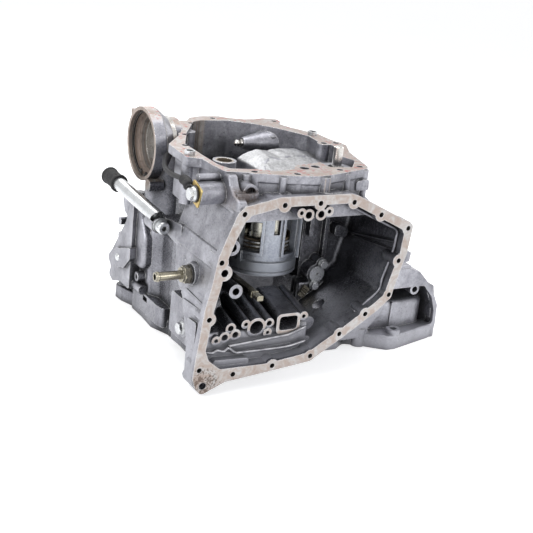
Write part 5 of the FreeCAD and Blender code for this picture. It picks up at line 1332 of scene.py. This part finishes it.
@dataclass
class Studio:
    """Floor, lights and the camera at the photograph's angle."""

    turn: float = -31.0
    height: float = 20.0
    roll: float = 6.5
    distance: float = 1.347
    lens: float = 70.0
    target: Point = (9.3, -6.9, 106.9)
    aim: Point = (0.0, 0.0, 0.13)
    floor_reach: float = 6.0
    floor_colour: Colour = (0.88, 0.88, 0.885)
    floor_glow: float = 0.62
    surround_colour: Colour = (0.95, 0.97, 1.0)
    surround_light: float = 0.38
    boxes: list[tuple[str, Point, float, float, Colour]] = field(default_factory=lambda: [
        ("top_box", (-0.1, 0.1, 1.5), 0.8, 9.0, WHITE),
        ("left_box", (-1.5, -0.5, 0.9), 0.6, 10.0, (0.98, 0.99, 1.0)),
        ("front_box", (0.6, -1.6, 0.8), 0.6, 5.0, WHITE),
        ("right_box", (1.5, 0.2, 0.9), 0.7, 5.0, (1.0, 0.99, 0.98)),
        ("back_box", (0.1, 1.5, 1.1), 0.8, 5.0, WHITE),
    ])

    def build(self) -> None:
        """Build the studio."""
        self._floor()
        for name, place, size, power, colour in self.boxes:
            self._lamp(name, place, size, power, colour)
        self._surround()
        self._camera()
        bpy.context.scene.view_settings.view_transform = "Standard"

    def _floor(self) -> None:
        """A plain pale floor."""
        mesh = bmesh.new()
        bmesh.ops.create_grid(mesh, x_segments=1, y_segments=1, size=self.floor_reach)
        shader = Shader("pale_floor")
        colour = shader.shade(self.floor_colour, 0.99 + shader.noise(3.0, 2.0) * 0.02)
        shader.surface.inputs["Emission Strength"].default_value = self.floor_glow
        glow = shader.shade(WHITE, shader.background_rays())
        paper = shader.finish(Base_Color=colour, Roughness=0.9, Emission_Color=glow)
        placed("floor", mesh, paper)

    def _lamp(self, name: str, place: Point, size: float, power: float, colour: Colour) -> None:
        """Add a square softbox that points at the part.

        Args:
            name: Name of the lamp.
            place: Where it stands.
            size: Its side.
            power: Its power in watts.
            colour: Its colour.
        """
        lamp = bpy.data.lights.new(name, "AREA")
        lamp.shape = "SQUARE"
        lamp.size = size
        lamp.energy = power
        lamp.color = colour
        turn = (Vector(self.aim) - Vector(place)).to_track_quat("-Z", "Y").to_matrix().to_4x4()
        linked(name, lamp).matrix_world = Matrix.Translation(place) @ turn

    def _surround(self) -> None:
        """Soft light from all around, seen as plain white."""
        world = bpy.data.worlds.new("white_surround")
        bpy.context.scene.world = world
        world.use_nodes = True
        graph = Graph(world.node_tree)
        kind = "ShaderNodeBackground"
        light = graph.node(kind, {}, {"Color": self.surround_colour, "Strength": self.surround_light})
        seen = graph.node(kind, {}, {"Color": WHITE, "Strength": 1.0})
        inputs = {0: graph.background_rays(), 1: light.outputs[0], 2: seen.outputs[0]}
        blend = graph.node("ShaderNodeMixShader", {}, inputs)
        graph.node("ShaderNodeOutputWorld", {}, {"Surface": blend.outputs[0]})

    def _camera(self) -> None:
        """The camera."""
        turn, height, roll = (math.radians(angle) for angle in (self.turn, self.height, self.roll))
        back = Vector((
            math.sin(turn) * math.cos(height), -math.cos(turn) * math.cos(height), math.sin(height)
        ))
        right = Vector((math.cos(turn), math.sin(turn), 0.0))
        up = back.cross(right)
        side = right * math.cos(roll) + up * math.sin(roll)
        top = up * math.cos(roll) - right * math.sin(roll)
        rotation = Matrix((side, top, back)).transposed().to_4x4()
        data = bpy.data.cameras.new("photo_camera")
        data.lens = self.lens
        data.sensor_width = 36.0
        camera = linked("photo_camera", data)
        camera.matrix_world = Matrix.Translation(at(*self.target) + back * self.distance) @ rotation
        bpy.context.scene.camera = camera


def main() -> None:
    """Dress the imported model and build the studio."""
    logging.basicConfig(level=logging.INFO)
    Studio().build()
    finishes = Finishes()
    finishes.dress_nodes()
    TappedHoles(finishes).build()
    CastMarks(finishes).build()
    ChamberWeb(finishes).build()
    SleevedArm(finishes).build()
    TubeCap(finishes).build()


if __name__ == "__main__":
    main()
